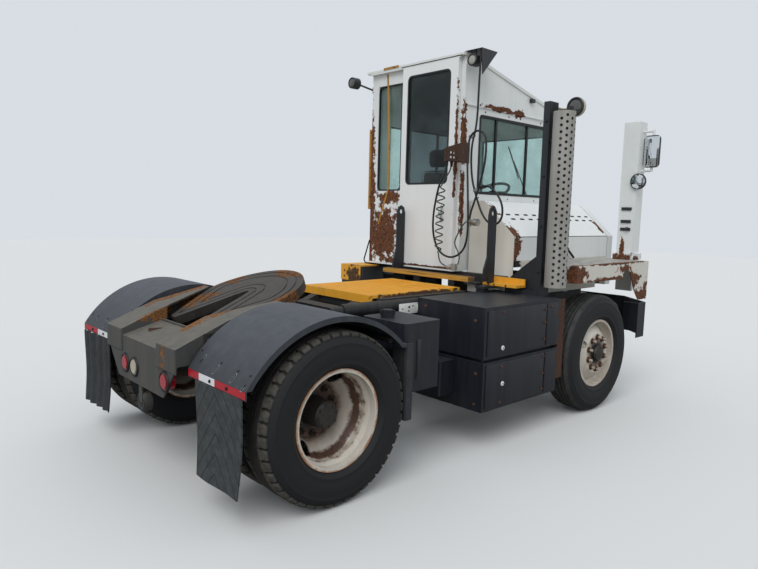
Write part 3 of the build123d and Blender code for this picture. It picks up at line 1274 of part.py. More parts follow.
# routes of the trailer lines: distance ahead of the rear axle, Y, Z
air_hose_route = (
    (1976, -180, 2160), (1976, -180, 2085), (1938, -142, 1977), (1935, -112, 1865), (1970, -48, 1707),
    (2000, -19, 1546), (2050, -22, 1405), (2060, -101, 1329), (2060, -220, 1314), (2060, -332, 1379),
    (2060, -375, 1499), (2065, -368, 1689), (2090, -332, 1914), (2115, -295, 2132), (2130, -283, 2270),
    (2145, -285, 2384), (2150, -370, 2433), (2150, -455, 2384), (2150, -468, 2265), (2150, -455, 2120),
    (2150, -412, 1960), (2140, -377, 1830), (2125, -345, 1724), (2120, -340, 1660))
light_cable_route = (
    (2192, -331, 3120), (2192, -331, 2995), (2184, -332, 2850), (2186, -329, 2690), (2188, -325, 2550),
    (2184, -314, 2430), (2172, -292, 2325), (2170, -288, 2180), (2170, -309, 2010), (2170, -348, 1899),
    (2171, -387, 1804), (2170, -440, 1700), (2170, -510, 1632), (2170, -595, 1618), (2170, -652, 1680),
    (2170, -650, 1775), (2170, -610, 1855), (2170, -540, 1925), (2170, -462, 1960), (2168, -395, 1930))
air_lead_route = ((2036, -182, 2160), (2036, -182, 2095), (2012, -138, 2015), (2000, -112, 1964))
air_coil_route = ((2000, -112, 1964), (2000, -101, 1760), (2000, -94, 1560), (2000, -100, 1345))
air_tail_route = ((2000, -100, 1345), (2000, -106, 1290), (2006, -150, 1248), (2015, -215, 1236))
air_rise_route = (
    (2050, -285, 1262), (2082, -283, 1320), (2085, -250, 1378), (2080, -205, 1447), (2085, -247, 1537),
    (2092, -293, 1618), (2106, -330, 1650))


def trailer_lines():
    """Air hose, light cable and coiled air line that hang from the bracket and the roof wing."""
    write("air_hose", line_tube(air_hose_route, hose_r))
    write("light_cable", line_tube(light_cable_route, hose_r))
    coil = line_tube(air_coil_route, coil_r)
    lead = line_tube(air_lead_route, air_line_r)
    tail = line_tube(air_tail_route, air_line_r)
    write("air_line_coil", lead + coil + tail, line_tube(air_rise_route, air_line_r))
    x, y, z = ahead(2120), -340.0, 1660.0
    socket = bar((x, y, z), (x, y, z - 60), 22)
    knob = cross_bar(x, y - 20, y - 95, z - 24, 14) + cross_bar(x, y - 50, y - 95, z - 24, 32)
    strap = bar((ahead(2064), -370, z - 12), (x, y, z - 30), 9)
    top_tie = bar((ahead(2144), -286, 2372), (ahead(2196), -296, 2392), 15)
    knot = bar((ahead(2146), -400, 1918), (ahead(2172), -342, 1912), 17)
    hand_y0, hand_y1, hand_z = -215.0, -285.0, 1236.0
    grip = bar((ahead(2015), hand_y0, hand_z), (ahead(2044), hand_y1, hand_z + 12), 20)
    grip = grip + bar((ahead(2030), hand_y0 - 45, hand_z - 26), (ahead(2030), hand_y0 - 45, hand_z + 30), 30)
    write("line_couplings", socket + knob + strap, top_tie, knot, grip)


def main():
    wheels()
    frame_rails()
    rear_deck()
    lamps = tail_lamps()
    stays = rear_fenders()
    mud_flaps()
    rear_axle()
    engine()
    front_axle()
    steering()
    boom()
    fifth_wheel()
    lift_cylinders()
    side_box()
    write("frame_brackets", *stays, *tanks())
    left_steps()
    cab_carriers()
    catwalk()
    cab()
    rear_door()
    cab_inside()
    right_deck(hood())
    bumper(lamps)
    mirror_post()
    stack()
    cab_fittings()
    hose_bracket()
    trailer_lines()


main()
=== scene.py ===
# Terminal tractor: finishes, fine detail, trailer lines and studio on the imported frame, in metres.
import bpy
import math
from mathutils import Matrix, Vector


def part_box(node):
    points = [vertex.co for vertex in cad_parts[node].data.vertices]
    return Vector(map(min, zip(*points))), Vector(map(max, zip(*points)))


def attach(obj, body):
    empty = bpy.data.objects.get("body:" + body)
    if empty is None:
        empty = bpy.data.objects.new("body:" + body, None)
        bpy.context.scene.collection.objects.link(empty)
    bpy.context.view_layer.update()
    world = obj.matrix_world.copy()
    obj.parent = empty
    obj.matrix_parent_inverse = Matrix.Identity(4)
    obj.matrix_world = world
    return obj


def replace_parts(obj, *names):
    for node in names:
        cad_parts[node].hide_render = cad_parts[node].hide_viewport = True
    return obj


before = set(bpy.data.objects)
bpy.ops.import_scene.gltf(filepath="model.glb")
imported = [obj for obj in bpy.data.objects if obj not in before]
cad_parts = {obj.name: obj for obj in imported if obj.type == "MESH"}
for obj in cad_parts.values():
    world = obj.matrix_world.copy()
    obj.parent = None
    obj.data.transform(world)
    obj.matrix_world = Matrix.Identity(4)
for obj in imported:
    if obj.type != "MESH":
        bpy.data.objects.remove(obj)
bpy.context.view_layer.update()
bpy.ops.object.select_all(action="DESELECT")

# Driving places, read from the frame
rear_low, rear_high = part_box("tyres_rear_left")
front_low, front_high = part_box("tyre_front_left")
axle_x = (rear_low.x + rear_high.x) / 2
steer_x = (front_low.x + front_high.x) / 2
axle_z = (rear_low.z + rear_high.z) / 2
tyre_r = (rear_high.z - rear_low.z) / 2
tyre_w = front_high.y - front_low.y
tyre_y = (front_low.y + front_high.y) / 2
dual_step = rear_high.y - rear_low.y - tyre_w
wheelbase = steer_x - axle_x


def ahead(distance):
    """X of a point that far ahead of the rear axle, in metres."""
    return axle_x + distance


# Camera: eye level at the right rear corner, lens of about 30 mm on a 36 mm sensor
camera_ahead = -2.19
camera_side, camera_height = -3.858, 1.692
camera_yaw, camera_pitch, camera_roll = 47.25, -6.49, 1.49
camera_lens = 29.71


def add_camera():
    data = bpy.data.cameras.new("camera")
    data.lens = camera_lens
    data.sensor_width = 36.0
    camera = bpy.data.objects.new("camera", data)
    bpy.context.scene.collection.objects.link(camera)
    turn = Matrix.Rotation(math.radians(camera_yaw - 90), 4, "Z")
    turn = turn @ Matrix.Rotation(math.radians(90 + camera_pitch), 4, "X")
    turn = turn @ Matrix.Rotation(math.radians(camera_roll), 4, "Z")
    camera.matrix_world = Matrix.Translation((ahead(camera_ahead), camera_side, camera_height)) @ turn
    bpy.context.scene.camera = camera


# ---- modelling helpers: places are (distance ahead of the rear axle, Y, Z)

rearward, rightward, upward = (-1, 0, 0), (0, -1, 0), (0, 0, 1)
mirrored = Matrix.Scale(-1, 4, (0, 1, 0))


def choose(*pieces):
    """The pieces selected alone, the first of them active."""
    bpy.ops.object.select_all(action="DESELECT")
    for piece in pieces:
        piece.select_set(True)
    bpy.context.view_layer.objects.active = pieces[0]


def apply_place(piece):
    """The piece's place goes into its mesh."""
    choose(piece)
    bpy.ops.object.transform_apply(location=True, rotation=True, scale=True)
    return piece


def edit(piece):
    """Edit mode with all of the piece selected."""
    choose(piece)
    bpy.ops.object.mode_set(mode="EDIT")
    bpy.ops.mesh.select_all(action="SELECT")


def leave_edit():
    bpy.ops.object.mode_set(mode="OBJECT")


def choose_faces(piece, test):
    """Select the faces whose centre and normal pass the test, from edit mode."""
    bpy.ops.mesh.select_all(action="DESELECT")
    bpy.ops.mesh.select_mode(type="FACE")
    leave_edit()
    for face in piece.data.polygons:
        face.select = test(face.center, face.normal)
    bpy.ops.object.mode_set(mode="EDIT")


def choose_points(piece, test):
    """Select the corner points whose place passes the test, from edit mode."""
    bpy.ops.mesh.select_all(action="DESELECT")
    bpy.ops.mesh.select_mode(type="VERT")
    leave_edit()
    for vertex in piece.data.vertices:
        vertex.select = test(vertex.co)
    bpy.ops.object.mode_set(mode="EDIT")


def block(low, high, bevel=0.0015, segments=2):
    """Rectangular piece between two corners in the frame, its edges rounded."""
    bpy.ops.mesh.primitive_cube_add(size=1, location=(low + high) / 2, scale=high - low)
    piece = apply_place(bpy.context.active_object)
    edit(piece)
    bpy.ops.mesh.bevel(offset=bevel, segments=segments, affect="EDGES")
    leave_edit()
    return piece


def slab(low, high, bevel=0.0015, segments=2):
    """Rectangular piece between two corners ahead of the rear axle."""
    return block(point(*low), point(*high), bevel, segments)


def rod(start, end, radius, sides=20, bevel=0.0):
    """Round bar between two points of the frame, its ends chamfered."""
    start, end = Vector(start), Vector(end)
    run = end - start
    turn = run.to_track_quat("Z", "Y").to_euler()
    bpy.ops.mesh.primitive_cylinder_add(vertices=sides, radius=radius, depth=run.length,
                                        location=(start + end) / 2, rotation=turn)
    piece = apply_place(bpy.context.active_object)
    if bevel:
        axis = run.normalized()
        edit(piece)
        choose_faces(piece, lambda centre, normal: abs(normal.dot(axis)) > 0.9)
        bpy.ops.mesh.bevel(offset=bevel, segments=2, affect="EDGES")
        leave_edit()
    return piece


def bar(start, end, radius, sides=20, bevel=0.0):
    """Round bar between two places ahead of the rear axle."""
    return rod(point(*start), point(*end), radius, sides, bevel)


def traced(places):
    """Line drawn from place to place, all of it selected. Edit mode stays on."""
    bpy.ops.mesh.primitive_plane_add(size=0.01, location=(0, 0, 0))
    piece = bpy.context.active_object
    edit(piece)
    bpy.ops.mesh.select_mode(type="VERT")
    bpy.ops.mesh.merge(type="CENTER")
    bpy.ops.transform.translate(value=places[0])
    for here, there in zip(places, places[1:]):
        bpy.ops.mesh.extrude_region_move(TRANSFORM_OT_translate={"value": Vector(there) - Vector(here)})
    bpy.ops.mesh.select_all(action="SELECT")
    return piece


def lathe(profile, centre, axis, steps):
    """Profile of (radius, along) turned about the X, Y or Z axis through the centre."""
    centre = point(*centre)
    out = Vector((0, 1, 0) if axis == "X" else (1, 0, 0))
    along = Vector({"X": (1, 0, 0), "Y": (0, 1, 0), "Z": (0, 0, 1)}[axis])
    piece = traced([centre + out * r + along * a for r, a in profile])
    bpy.ops.mesh.spin(steps=steps, angle=math.tau, center=centre, axis=along)
    bpy.ops.mesh.select_all(action="SELECT")
    bpy.ops.mesh.remove_doubles(threshold=0.00002)
    bpy.ops.mesh.normals_make_consistent(inside=False)
    leave_edit()
    return piece


def joined(pieces):
    """Several pieces as one mesh."""
    choose(*pieces)
    if len(pieces) > 1:
        bpy.ops.object.join()
    return bpy.context.view_layer.objects.active


def turned_outwards(piece):
    """Every face's normal made to look outwards, from object mode."""
    edit(piece)
    bpy.ops.mesh.normals_make_consistent(inside=False)
    leave_edit()
    return piece


def twin_of(source):
    """A copy of the piece with its own mesh."""
    twin = source.copy()
    twin.data = source.data.copy()
    bpy.context.scene.collection.objects.link(twin)
    return twin


def copied(source, moves):
    """The source once for each matrix, each copy with its own mesh, all joined. The source is used up."""
    made = [twin_of(source) for move in moves]
    for twin, move in zip(made, moves):
        twin.data.transform(move)
    bpy.data.objects.remove(source)
    return joined(made)


def point(x, y, z):
    """Point that far ahead of the rear axle."""
    return Vector((ahead(x), y, z))


def on_x(x, pairs):
    """Points at one X, from pairs of Y and Z."""
    return [point(x, y, z) for y, z in pairs]


def on_y(y, pairs):
    """Points at one Y, from pairs of X and Z."""
    return [point(x, y, z) for x, z in pairs]


def rectangle(low, high):
    """Corner pairs between two opposite corners."""
    return low, (high[0], low[1]), high, (low[0], high[1])


def facing(centre, normal, along=(0, 0, 1), size=1.0):
    """Matrix that lays a piece made at the origin on a surface: its Z outwards, its X along."""
    out = Vector(normal).normalized()
    along = Vector(along)
    length = (along - out * along.dot(out)).normalized()
    turn = Matrix((length, out.cross(length), out)).transposed().to_4x4()
    return Matrix.Translation(centre) @ turn @ Matrix.Scale(size, 4)


def drawn(outline):
    """Flat face inside an outline. Edit mode stays on."""
    piece = traced(outline)
    bpy.ops.mesh.edge_face_add()
    bpy.ops.mesh.select_mode(type="FACE")
    bpy.ops.mesh.select_all(action="SELECT")
    return piece


def deepened(piece, run):
    """The selected faces extruded along a run, closed and facing outwards."""
    bpy.ops.mesh.extrude_region_move(TRANSFORM_OT_translate={"value": run})
    bpy.ops.mesh.select_all(action="SELECT")
    bpy.ops.mesh.normals_make_consistent(inside=False)
    return piece


def extruded(outline, run, bevel=0.0, segments=1):
    """Outline filled and extruded along a run."""
    piece = deepened(drawn(outline), run)
    if bevel:
        bpy.ops.mesh.bevel(offset=bevel, segments=segments, affect="EDGES")
    leave_edit()
    return piece


def rounded(corners, radius, steps=5):
    """Corner points with each corner turned on a radius."""
    corners = [Vector(corner) for corner in corners]
    points = []
    for i, corner in enumerate(corners):
        before = (corners[i - 1] - corner).normalized()
        after = (corners[(i + 1) % len(corners)] - corner).normalized()
        half = before.angle(after) / 2
        centre = corner + (before + after).normalized() * radius / math.sin(half)
        first = (corner + before * radius / math.tan(half) - centre).normalized()
        last = (corner + after * radius / math.tan(half) - centre).normalized()
        points += [centre + first.slerp(last, k / steps) * radius for k in range(steps + 1)]
    return points


def ring_seal(outline, width, run):
    """Rubber ring inside an outline: face inset, its middle taken out, the rest given depth."""
    piece = drawn(outline)
    bpy.ops.mesh.inset(thickness=width)
    bpy.ops.mesh.delete(type="FACE")
    bpy.ops.mesh.select_all(action="SELECT")
    deepened(piece, run)
    leave_edit()
    return piece


def bolt_head():
    """Hex head on its washer, made for a head radius of one."""
    washer = rod((0, 0, -0.1), (0, 0, 0.16), 1.3, 16)
    head = rod((0, 0, 0.1), (0, 0, 0.85), 1.0, 6, 0.14)
    return joined([washer, head])


def bolted(name, body, rows, finish_name="nut_rust"):
    """Bolt heads on their surfaces, from rows of place, normal and head radius."""
    piece = copied(bolt_head(), [facing(point(*place), normal, size=r) for place, normal, r in rows])
    finish(piece, name, body, finish_name)


def turned_about(centre, axis, angle):
    """Matrix that turns about a line through the centre."""
    return Matrix.Translation(centre) @ Matrix.Rotation(angle, 4, axis) @ Matrix.Translation(-Vector(centre))


def finish(pieces, name, body, finish_name, smooth=35):
    """Name, finish and body of a modelled piece, or of a list of them joined."""
    piece = joined(pieces) if isinstance(pieces, list) else pieces
    piece.name = name
    piece.data.name = name
    piece.data.materials.clear()
    piece.data.materials.append(make[finish_name])
    choose(piece)
    bpy.ops.object.shade_smooth_by_angle(angle=math.radians(smooth))
    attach(piece, body)
    return piece


# ---- materials, by name in make

make = {}


def linear(hex_code):
    """sRGB hex to linear RGBA."""
    values = [int(hex_code[i:i + 2], 16) / 255 for i in (0, 2, 4)]
    return [v / 12.92 if v <= 0.04045 else ((v + 0.055) / 1.055) ** 2.4 for v in values] + [1.0]


def grain(size_mm):
    """Pattern scale whose cells are that many millimetres across."""
    return 1000.0 / size_mm


def feed(tree, node, inputs):
    """Each input named takes its constant, or is linked to the socket given."""
    for key, value in dict(inputs).items():
        if isinstance(value, bpy.types.NodeSocket):
            tree.links.new(value, node.inputs[key])
        else:
            node.inputs[key].default_value = value


def add(tree, kind, inputs=(), output=0, **settings):
    """The output asked for of a new node, which gets its settings and inputs."""
    node = tree.nodes.new("ShaderNode" + kind)
    for key, value in settings.items():
        setattr(node, key, value)
    feed(tree, node, inputs)
    return node.outputs[output]


def start_material(name):
    """New material kept in make: gives its tree, its principled shader and the object coordinates."""
    make[name] = bpy.data.materials.new(name)
    make[name].use_nodes = True
    tree = make[name].node_tree
    return tree, tree.nodes["Principled BSDF"], add(tree, "TexCoord", output="Object")


def rust_cover(tree, place, zones, fray, flakes):
    """0 to 1 inside the zones (centre, reach): solid in the middle, broken into flakes towards the edge."""
    best = -1.0
    for centre, reach in zones:
        off = add(tree, "VectorMath", {0: place, 1: centre}, operation="SUBTRACT")
        near = add(tree, "VectorMath", {0: off, 1: [1 / r for r in reach]}, operation="MULTIPLY")
        far = add(tree, "VectorMath", {0: near}, "Value", operation="LENGTH")
        depth = add(tree, "Math", {0: 1.0, 1: far}, operation="SUBTRACT")
        best = add(tree, "Math", {0: depth, 1: best}, operation="MAXIMUM")
    shifted = add(tree, "Math", {0: flakes, 1: fray, 2: -0.56 * fray}, operation="MULTIPLY_ADD")
    total = add(tree, "Math", {0: best, 1: shifted}, operation="ADD")
    return add(tree, "MapRange", {"Value": total, "From Max": 0.1})


def sprayed(name, paint, faded, rough, bare=0.72, zones=(), fray=3.0, rust=("3f2619", "7d4b2c"),
            dirt="7c7060", runs=0.12, top_dust_and_sheen=("8f8a80", 0.0), bump=0.15, metallic=0.0):
    """Sprayed alkyd enamel on sheet steel: soft gloss, chalked in broad patches, dust in runs, another colour
    on upward faces (settled dust, and on the fender also a painted highlight for its sheen), and rust that
    breaks through in flakes. Bare is the noise level above which specks of rust show, zones are where it lies
    thick."""
    tree, shader, place = start_material(name)
    # chalking about 450 mm across
    chalk = add(tree, "TexNoise", {"Vector": place, "Scale": grain(450), "Detail": 3.0})
    colour = add(tree, "Mix", {0: chalk, 6: linear(paint), 7: linear(faded)}, 2, data_type="RGBA")
    # runs 60 mm wide and 700 mm long down the sheet
    long = add(tree, "Mapping", {"Vector": place, "Scale": (grain(60), grain(60), grain(700))})
    streaks = add(tree, "TexNoise", {"Vector": long, "Scale": 1.0, "Detail": 4.0, "Roughness": 0.6})
    dusty = add(tree, "MapRange", {"Value": streaks, "From Min": 0.45, "From Max": 0.85, "To Max": runs})
    colour = add(tree, "Mix", {0: dusty, 6: colour, 7: linear(dirt)}, 2, data_type="RGBA")
    # flakes from 70 mm down to 2 mm, and their texture from 16 mm down
    flakes = add(tree, "TexNoise", {"Vector": place, "Scale": grain(70), "Detail": 10.0, "Roughness": 0.68})
    fine = add(tree, "TexNoise", {"Vector": place, "Scale": grain(16), "Detail": 6.0})
    if top_dust_and_sheen[1]:
        # upward faces take another colour: settled dust, and on the fender also a painted highlight standing
        # for the sheen at its top
        normal = add(tree, "NewGeometry", output="Normal")
        rise = add(tree, "SeparateXYZ", {0: normal}, "Z")
        level = add(tree, "MapRange", {"Value": rise, "From Min": 0.55, "From Max": 0.95,
                                       "To Max": top_dust_and_sheen[1]})
        uneven = add(tree, "MapRange", {"Value": flakes, "From Min": 0.35, "From Max": 0.65, "To Min": 0.45})
        top_share = add(tree, "Math", {0: level, 1: uneven}, operation="MULTIPLY")
        colour = add(tree, "Mix", {0: top_share, 6: colour, 7: linear(top_dust_and_sheen[0])}, 2, data_type="RGBA")
    mask = add(tree, "MapRange", {"Value": flakes, "From Min": bare, "From Max": bare + 0.03})
    if zones:
        cover = rust_cover(tree, place, zones, fray, flakes)
        mask = add(tree, "Math", {0: mask, 1: cover}, operation="MAXIMUM")
    tone = add(tree, "MapRange", {"Value": fine, "From Min": 0.35, "From Max": 0.68})
    mark_tone = add(tree, "Mix", {0: tone, 6: linear(rust[0]), 7: linear(rust[1])}, 2, data_type="RGBA")
    colour = add(tree, "Mix", {0: mask, 6: colour, 7: mark_tone}, 2, data_type="RGBA")
    # rust is matt, chalked paint duller than fresh
    gloss = add(tree, "MapRange", {"Value": mask, "To Min": rough, "To Max": 0.9})
    worn = add(tree, "Math", {0: chalk, 1: 0.16, 2: gloss}, operation="MULTIPLY_ADD")
    height = add(tree, "Math", {0: mask, 1: -0.6, 2: fine}, operation="MULTIPLY_ADD")
    bumped = add(tree, "Bump", {"Height": height, "Strength": bump, "Distance": 0.002})
    feed(tree, shader, {"Base Color": colour, "Roughness": worn, "Metallic": metallic, "Normal": bumped})


def moulded(name, colour, rough, metallic=0.0, cells=11.0, bump=0.08, vary=0.25, coat=0.0):
    """Moulded rubber or plastic, or bright metal: one colour, uneven in cells of a few millimetres."""
    tree, shader, place = start_material(name)
    uneven = add(tree, "TexNoise", {"Vector": place, "Scale": grain(cells), "Detail": 5.0})
    dark = [c * (1 - vary) for c in linear(colour)[:3]] + [1.0]
    tone = add(tree, "Mix", {0: uneven, 6: dark, 7: linear(colour)}, 2, data_type="RGBA")
    bumped = add(tree, "Bump", {"Height": uneven, "Strength": bump, "Distance": 0.001})
    feed(tree, shader, {"Base Color": tone, "Roughness": rough, "Metallic": metallic, "Coat Weight": coat,
                        "Normal": bumped})


def tyre_rubber(name, wall, tread, crown):
    """Vulcanised tyre rubber: black walls with fine mould rings, greying with dust towards the tread."""
    tree, shader, place = start_material(name)
    along, upright = [add(tree, "SeparateXYZ", {0: place}, axis) for axis in "XZ"]
    drop = add(tree, "Math", {0: upright, 1: axle_z}, operation="SUBTRACT")
    radii = []
    for wheel_x in (axle_x, steer_x):
        level = add(tree, "Math", {0: along, 1: wheel_x}, operation="SUBTRACT")
        flat = add(tree, "CombineXYZ", {"X": level, "Z": drop})
        radii.append(add(tree, "VectorMath", {0: flat}, "Value", operation="LENGTH"))
    radius = add(tree, "Math", {0: radii[0], 1: radii[1]}, operation="MINIMUM")
    # dust clings in smears 40 mm across
    smear = add(tree, "TexNoise", {"Vector": place, "Scale": grain(40), "Detail": 8.0, "Roughness": 0.65})
    near_tread = add(tree, "MapRange", {"Value": radius, "From Min": crown - 0.025, "From Max": crown,
                                        "To Min": 0.03, "To Max": 0.9})
    patchy = add(tree, "MapRange", {"Value": smear, "From Min": 0.35, "From Max": 0.62, "To Min": 0.35})
    dust = add(tree, "Math", {0: near_tread, 1: patchy}, operation="MULTIPLY")
    colour = add(tree, "Mix", {0: dust, 6: linear(wall), 7: linear(tread)}, 2, data_type="RGBA")
    # mould rings 6 mm apart on the wall
    turns = add(tree, "Math", {0: radius, 1: math.tau / 0.006}, operation="MULTIPLY")
    rings = add(tree, "Math", {0: turns}, operation="SINE")
    height = add(tree, "Math", {0: rings, 1: 0.12, 2: smear}, operation="MULTIPLY_ADD")
    bumped = add(tree, "Bump", {"Height": height, "Strength": 0.25, "Distance": 0.001})
    feed(tree, shader, {"Base Color": colour, "Roughness": 0.74, "Normal": bumped})


def ribbed_flap(name, colour, dust, chevrons):
    """Moulded rubber sheet: grey-black with dust, and chevron ribs 110 mm apart or upright ones of 30 mm."""
    tree, shader, place = start_material(name)
    smear = add(tree, "TexNoise", {"Vector": place, "Scale": grain(55), "Detail": 8.0, "Roughness": 0.7})
    dusty = add(tree, "MapRange", {"Value": smear, "From Min": 0.42, "From Max": 0.78, "To Max": 0.6})
    tone = add(tree, "Mix", {0: dusty, 6: linear(colour), 7: linear(dust)}, 2, data_type="RGBA")
    line, upright = [add(tree, "SeparateXYZ", {0: place}, axis) for axis in "YZ"]
    if chevrons:
        off_middle = add(tree, "Math", {0: line, 1: 0.9}, operation="ADD")
        from_middle = add(tree, "Math", {0: off_middle}, operation="ABSOLUTE")
        line = add(tree, "Math", {0: from_middle, 1: 1.25, 2: upright}, operation="MULTIPLY_ADD")
    phase = add(tree, "Math", {0: line, 1: grain(110 if chevrons else 30)}, operation="MULTIPLY")
    saw = add(tree, "Math", {0: phase}, operation="FRACT")
    off = add(tree, "Math", {0: saw, 1: 0.5}, operation="SUBTRACT")
    gap = add(tree, "Math", {0: off}, operation="ABSOLUTE")
    rib = add(tree, "MapRange", {"Value": gap, "From Min": 0.03, "From Max": 0.07, "To Min": 1.0,
                                 "To Max": 0.0})
    shadow = add(tree, "Math", {0: rib, 1: 0.9}, operation="MULTIPLY")
    tone = add(tree, "Mix", {0: shadow, 6: tone, 7: linear("131517")}, 2, data_type="RGBA")
    height = add(tree, "Math", {0: rib, 1: -1.0, 2: smear}, operation="MULTIPLY_ADD")
    bumped = add(tree, "Bump", {"Height": height, "Strength": 0.35, "Distance": 0.002})
    feed(tree, shader, {"Base Color": tone, "Roughness": 0.62, "Normal": bumped})


def window_glass(name, tint, veil):
    """Toughened glass tinted in the melt: see-through, a dusty veil in smears of 300 mm, and a shine."""
    tree, shader, place = start_material(name)
    tree.nodes.remove(shader)
    clear = add(tree, "BsdfTransparent", {"Color": linear(tint)})
    film = add(tree, "BsdfDiffuse", {"Color": linear("9fb0ad")})
    smear = add(tree, "TexNoise", {"Vector": place, "Scale": grain(300), "Detail": 6.0})
    dusty = add(tree, "MapRange", {"Value": smear, "From Min": 0.4, "From Max": 0.8, "To Max": veil})
    pane = add(tree, "MixShader", {0: dusty, 1: clear, 2: film})
    shine = add(tree, "BsdfGlossy", {"Roughness": 0.03})
    # shine grows from 3% face on to all at a glance, the same on the pane's inner side
    glance = add(tree, "LayerWeight", {"Blend": 0.5}, "Facing")
    steep = add(tree, "Math", {0: glance, 1: 5.0}, operation="POWER")
    edge = add(tree, "Math", {0: steep, 1: 0.9, 2: 0.03}, operation="MULTIPLY_ADD")
    total = add(tree, "MixShader", {0: edge, 1: pane, 2: shine})
    feed(tree, tree.nodes["Material Output"], {"Surface": total})


def reflective_film(name, bands, cells_mm):
    """Prismatic film: colour bands along Y, its cells drawn coarser than real so that they show."""
    tree, shader, place = start_material(name)
    low, high = bands[0][0], bands[-1][0]
    side = add(tree, "SeparateXYZ", {0: place}, "Y")
    share = add(tree, "MapRange", {"Value": side, "From Min": low, "From Max": high})
    bright = add(tree, "ValToRGB", {"Fac": share})
    ramp = bright.node.color_ramp
    ramp.interpolation = "CONSTANT"
    while len(ramp.elements) < len(bands):
        ramp.elements.new(0.5)
    for element, (start, colour) in zip(ramp.elements, bands):
        element.position = (start - low) / (high - low)
        element.color = linear(colour)
    cell = add(tree, "TexVoronoi", {"Vector": place, "Scale": grain(cells_mm)}, feature="DISTANCE_TO_EDGE")
    dark = add(tree, "MapRange", {"Value": cell, "From Max": 0.08, "To Min": 0.78})
    dimmed = add(tree, "VectorMath", {0: bright, 1: dark}, operation="MULTIPLY")
    feed(tree, shader, {"Base Color": dimmed, "Roughness": 0.25})


def sawn_plank():
    """Sawn softwood: grain 12 mm wide and 400 mm long, trodden brown, yellow paint left on its rear edge."""
    tree, shader, place = start_material("sawn_plank")
    long = add(tree, "Mapping", {"Vector": place, "Scale": (grain(12), grain(400), grain(12))})
    fibres = add(tree, "TexNoise", {"Vector": long, "Scale": 1.0, "Detail": 7.0, "Distortion": 0.6})
    wood = add(tree, "ValToRGB", {"Fac": fibres})
    for element, position, colour in zip(wood.node.color_ramp.elements, (0.3, 0.66), ("43341f", "8d6c3c")):
        element.position = position
        element.color = linear(colour)
    normal = add(tree, "NewGeometry", output="Normal")
    lengthwise = add(tree, "SeparateXYZ", {0: normal}, "X")
    rear_side = add(tree, "Math", {0: lengthwise, 1: -0.5}, operation="LESS_THAN")
    patchy = add(tree, "MapRange", {"Value": fibres, "From Min": 0.36, "From Max": 0.46})
    paint = add(tree, "Math", {0: rear_side, 1: patchy}, operation="MULTIPLY")
    tone = add(tree, "Mix", {0: paint, 6: wood, 7: linear("b98a34")}, 2, data_type="RGBA")
    bumped = add(tree, "Bump", {"Height": fibres, "Strength": 0.4, "Distance": 0.002})
    feed(tree, shader, {"Base Color": tone, "Roughness": 0.82, "Normal": bumped})


def woven_cloth():
    """Woven polyester seat cloth: crossed threads, drawn 5 mm apart so that they show, faded in patches."""
    tree, shader, place = start_material("seat_cloth")
    threads = {"Vector": add(tree, "Mapping", {"Vector": place, "Scale": (grain(5),) * 3}), "Scale": 1.0}
    warp, weft = [add(tree, "TexWave", threads, "Fac", bands_direction=axis) for axis in "ZY"]
    weave = add(tree, "Math", {0: warp, 1: weft}, operation="MULTIPLY")
    fade = add(tree, "TexNoise", {"Vector": place, "Scale": grain(160), "Detail": 4.0})
    tone = add(tree, "Mix", {0: fade, 6: linear("2d2a2e"), 7: linear("5b535a")}, 2, data_type="RGBA")
    bumped = add(tree, "Bump", {"Height": weave, "Strength": 0.35, "Distance": 0.0006})
    feed(tree, shader, {"Base Color": tone, "Roughness": 0.9, "Sheen Weight": 0.3, "Normal": bumped})


def disc_wheel(name, wheel_x, rings):
    """Pressed steel disc wheel in white enamel: wandering rings (radius in metres, colour, share) of grease
    and rust, and of painted shade where a ring lies in the rim's well."""
    sprayed(name, "dedad0", "cbc5b6", 0.45, bare=0.68, dirt="8a6a48", runs=0.3, bump=0.25)
    tree = make[name].node_tree
    shader = tree.nodes["Principled BSDF"]
    below = shader.inputs["Base Color"].links[0].from_socket
    place = tree.nodes["Texture Coordinate"].outputs["Object"]
    off = add(tree, "VectorMath", {0: place, 1: (wheel_x, 0, axle_z)}, operation="SUBTRACT")
    flat = add(tree, "VectorMath", {0: off, 1: (1, 0, 1)}, operation="MULTIPLY")
    radius = add(tree, "VectorMath", {0: flat}, "Value", operation="LENGTH")
    # the rings wander by up to 10 mm in waves of 90 mm
    wander = add(tree, "TexNoise", {"Vector": place, "Scale": grain(90), "Detail": 7.0, "Roughness": 0.7})
    loose = add(tree, "Math", {0: wander, 1: 0.05, 2: -0.025}, operation="MULTIPLY_ADD")
    radius = add(tree, "Math", {0: radius, 1: loose}, operation="ADD")
    tint = add(tree, "ValToRGB", {"Fac": radius})
    share = add(tree, "ValToRGB", {"Fac": radius})
    tints = [linear(colour) for reach, colour, cover in rings]
    covers = [(cover, cover, cover, 1) for reach, colour, cover in rings]
    for ramp, colours in ((tint.node.color_ramp, tints), (share.node.color_ramp, covers)):
        while len(ramp.elements) < len(rings):
            ramp.elements.new(0.9)
        for element, row, colour in zip(ramp.elements, rings, colours):
            element.position = row[0]
            element.color = colour
    mottle = add(tree, "TexNoise", {"Vector": place, "Scale": grain(22), "Detail": 6.0})
    shade = add(tree, "MapRange", {"Value": mottle, "From Min": 0.3, "From Max": 0.7, "To Min": 0.55,
                                   "To Max": 1.25})
    # the rings' colour: grease and rust, and painted shade in the rear wheel's well
    mark_tone = add(tree, "VectorMath", {0: tint, 1: shade}, operation="MULTIPLY")
    total = add(tree, "Mix", {0: share, 6: below, 7: mark_tone}, 2, data_type="RGBA")
    feed(tree, shader, {"Base Color": total})


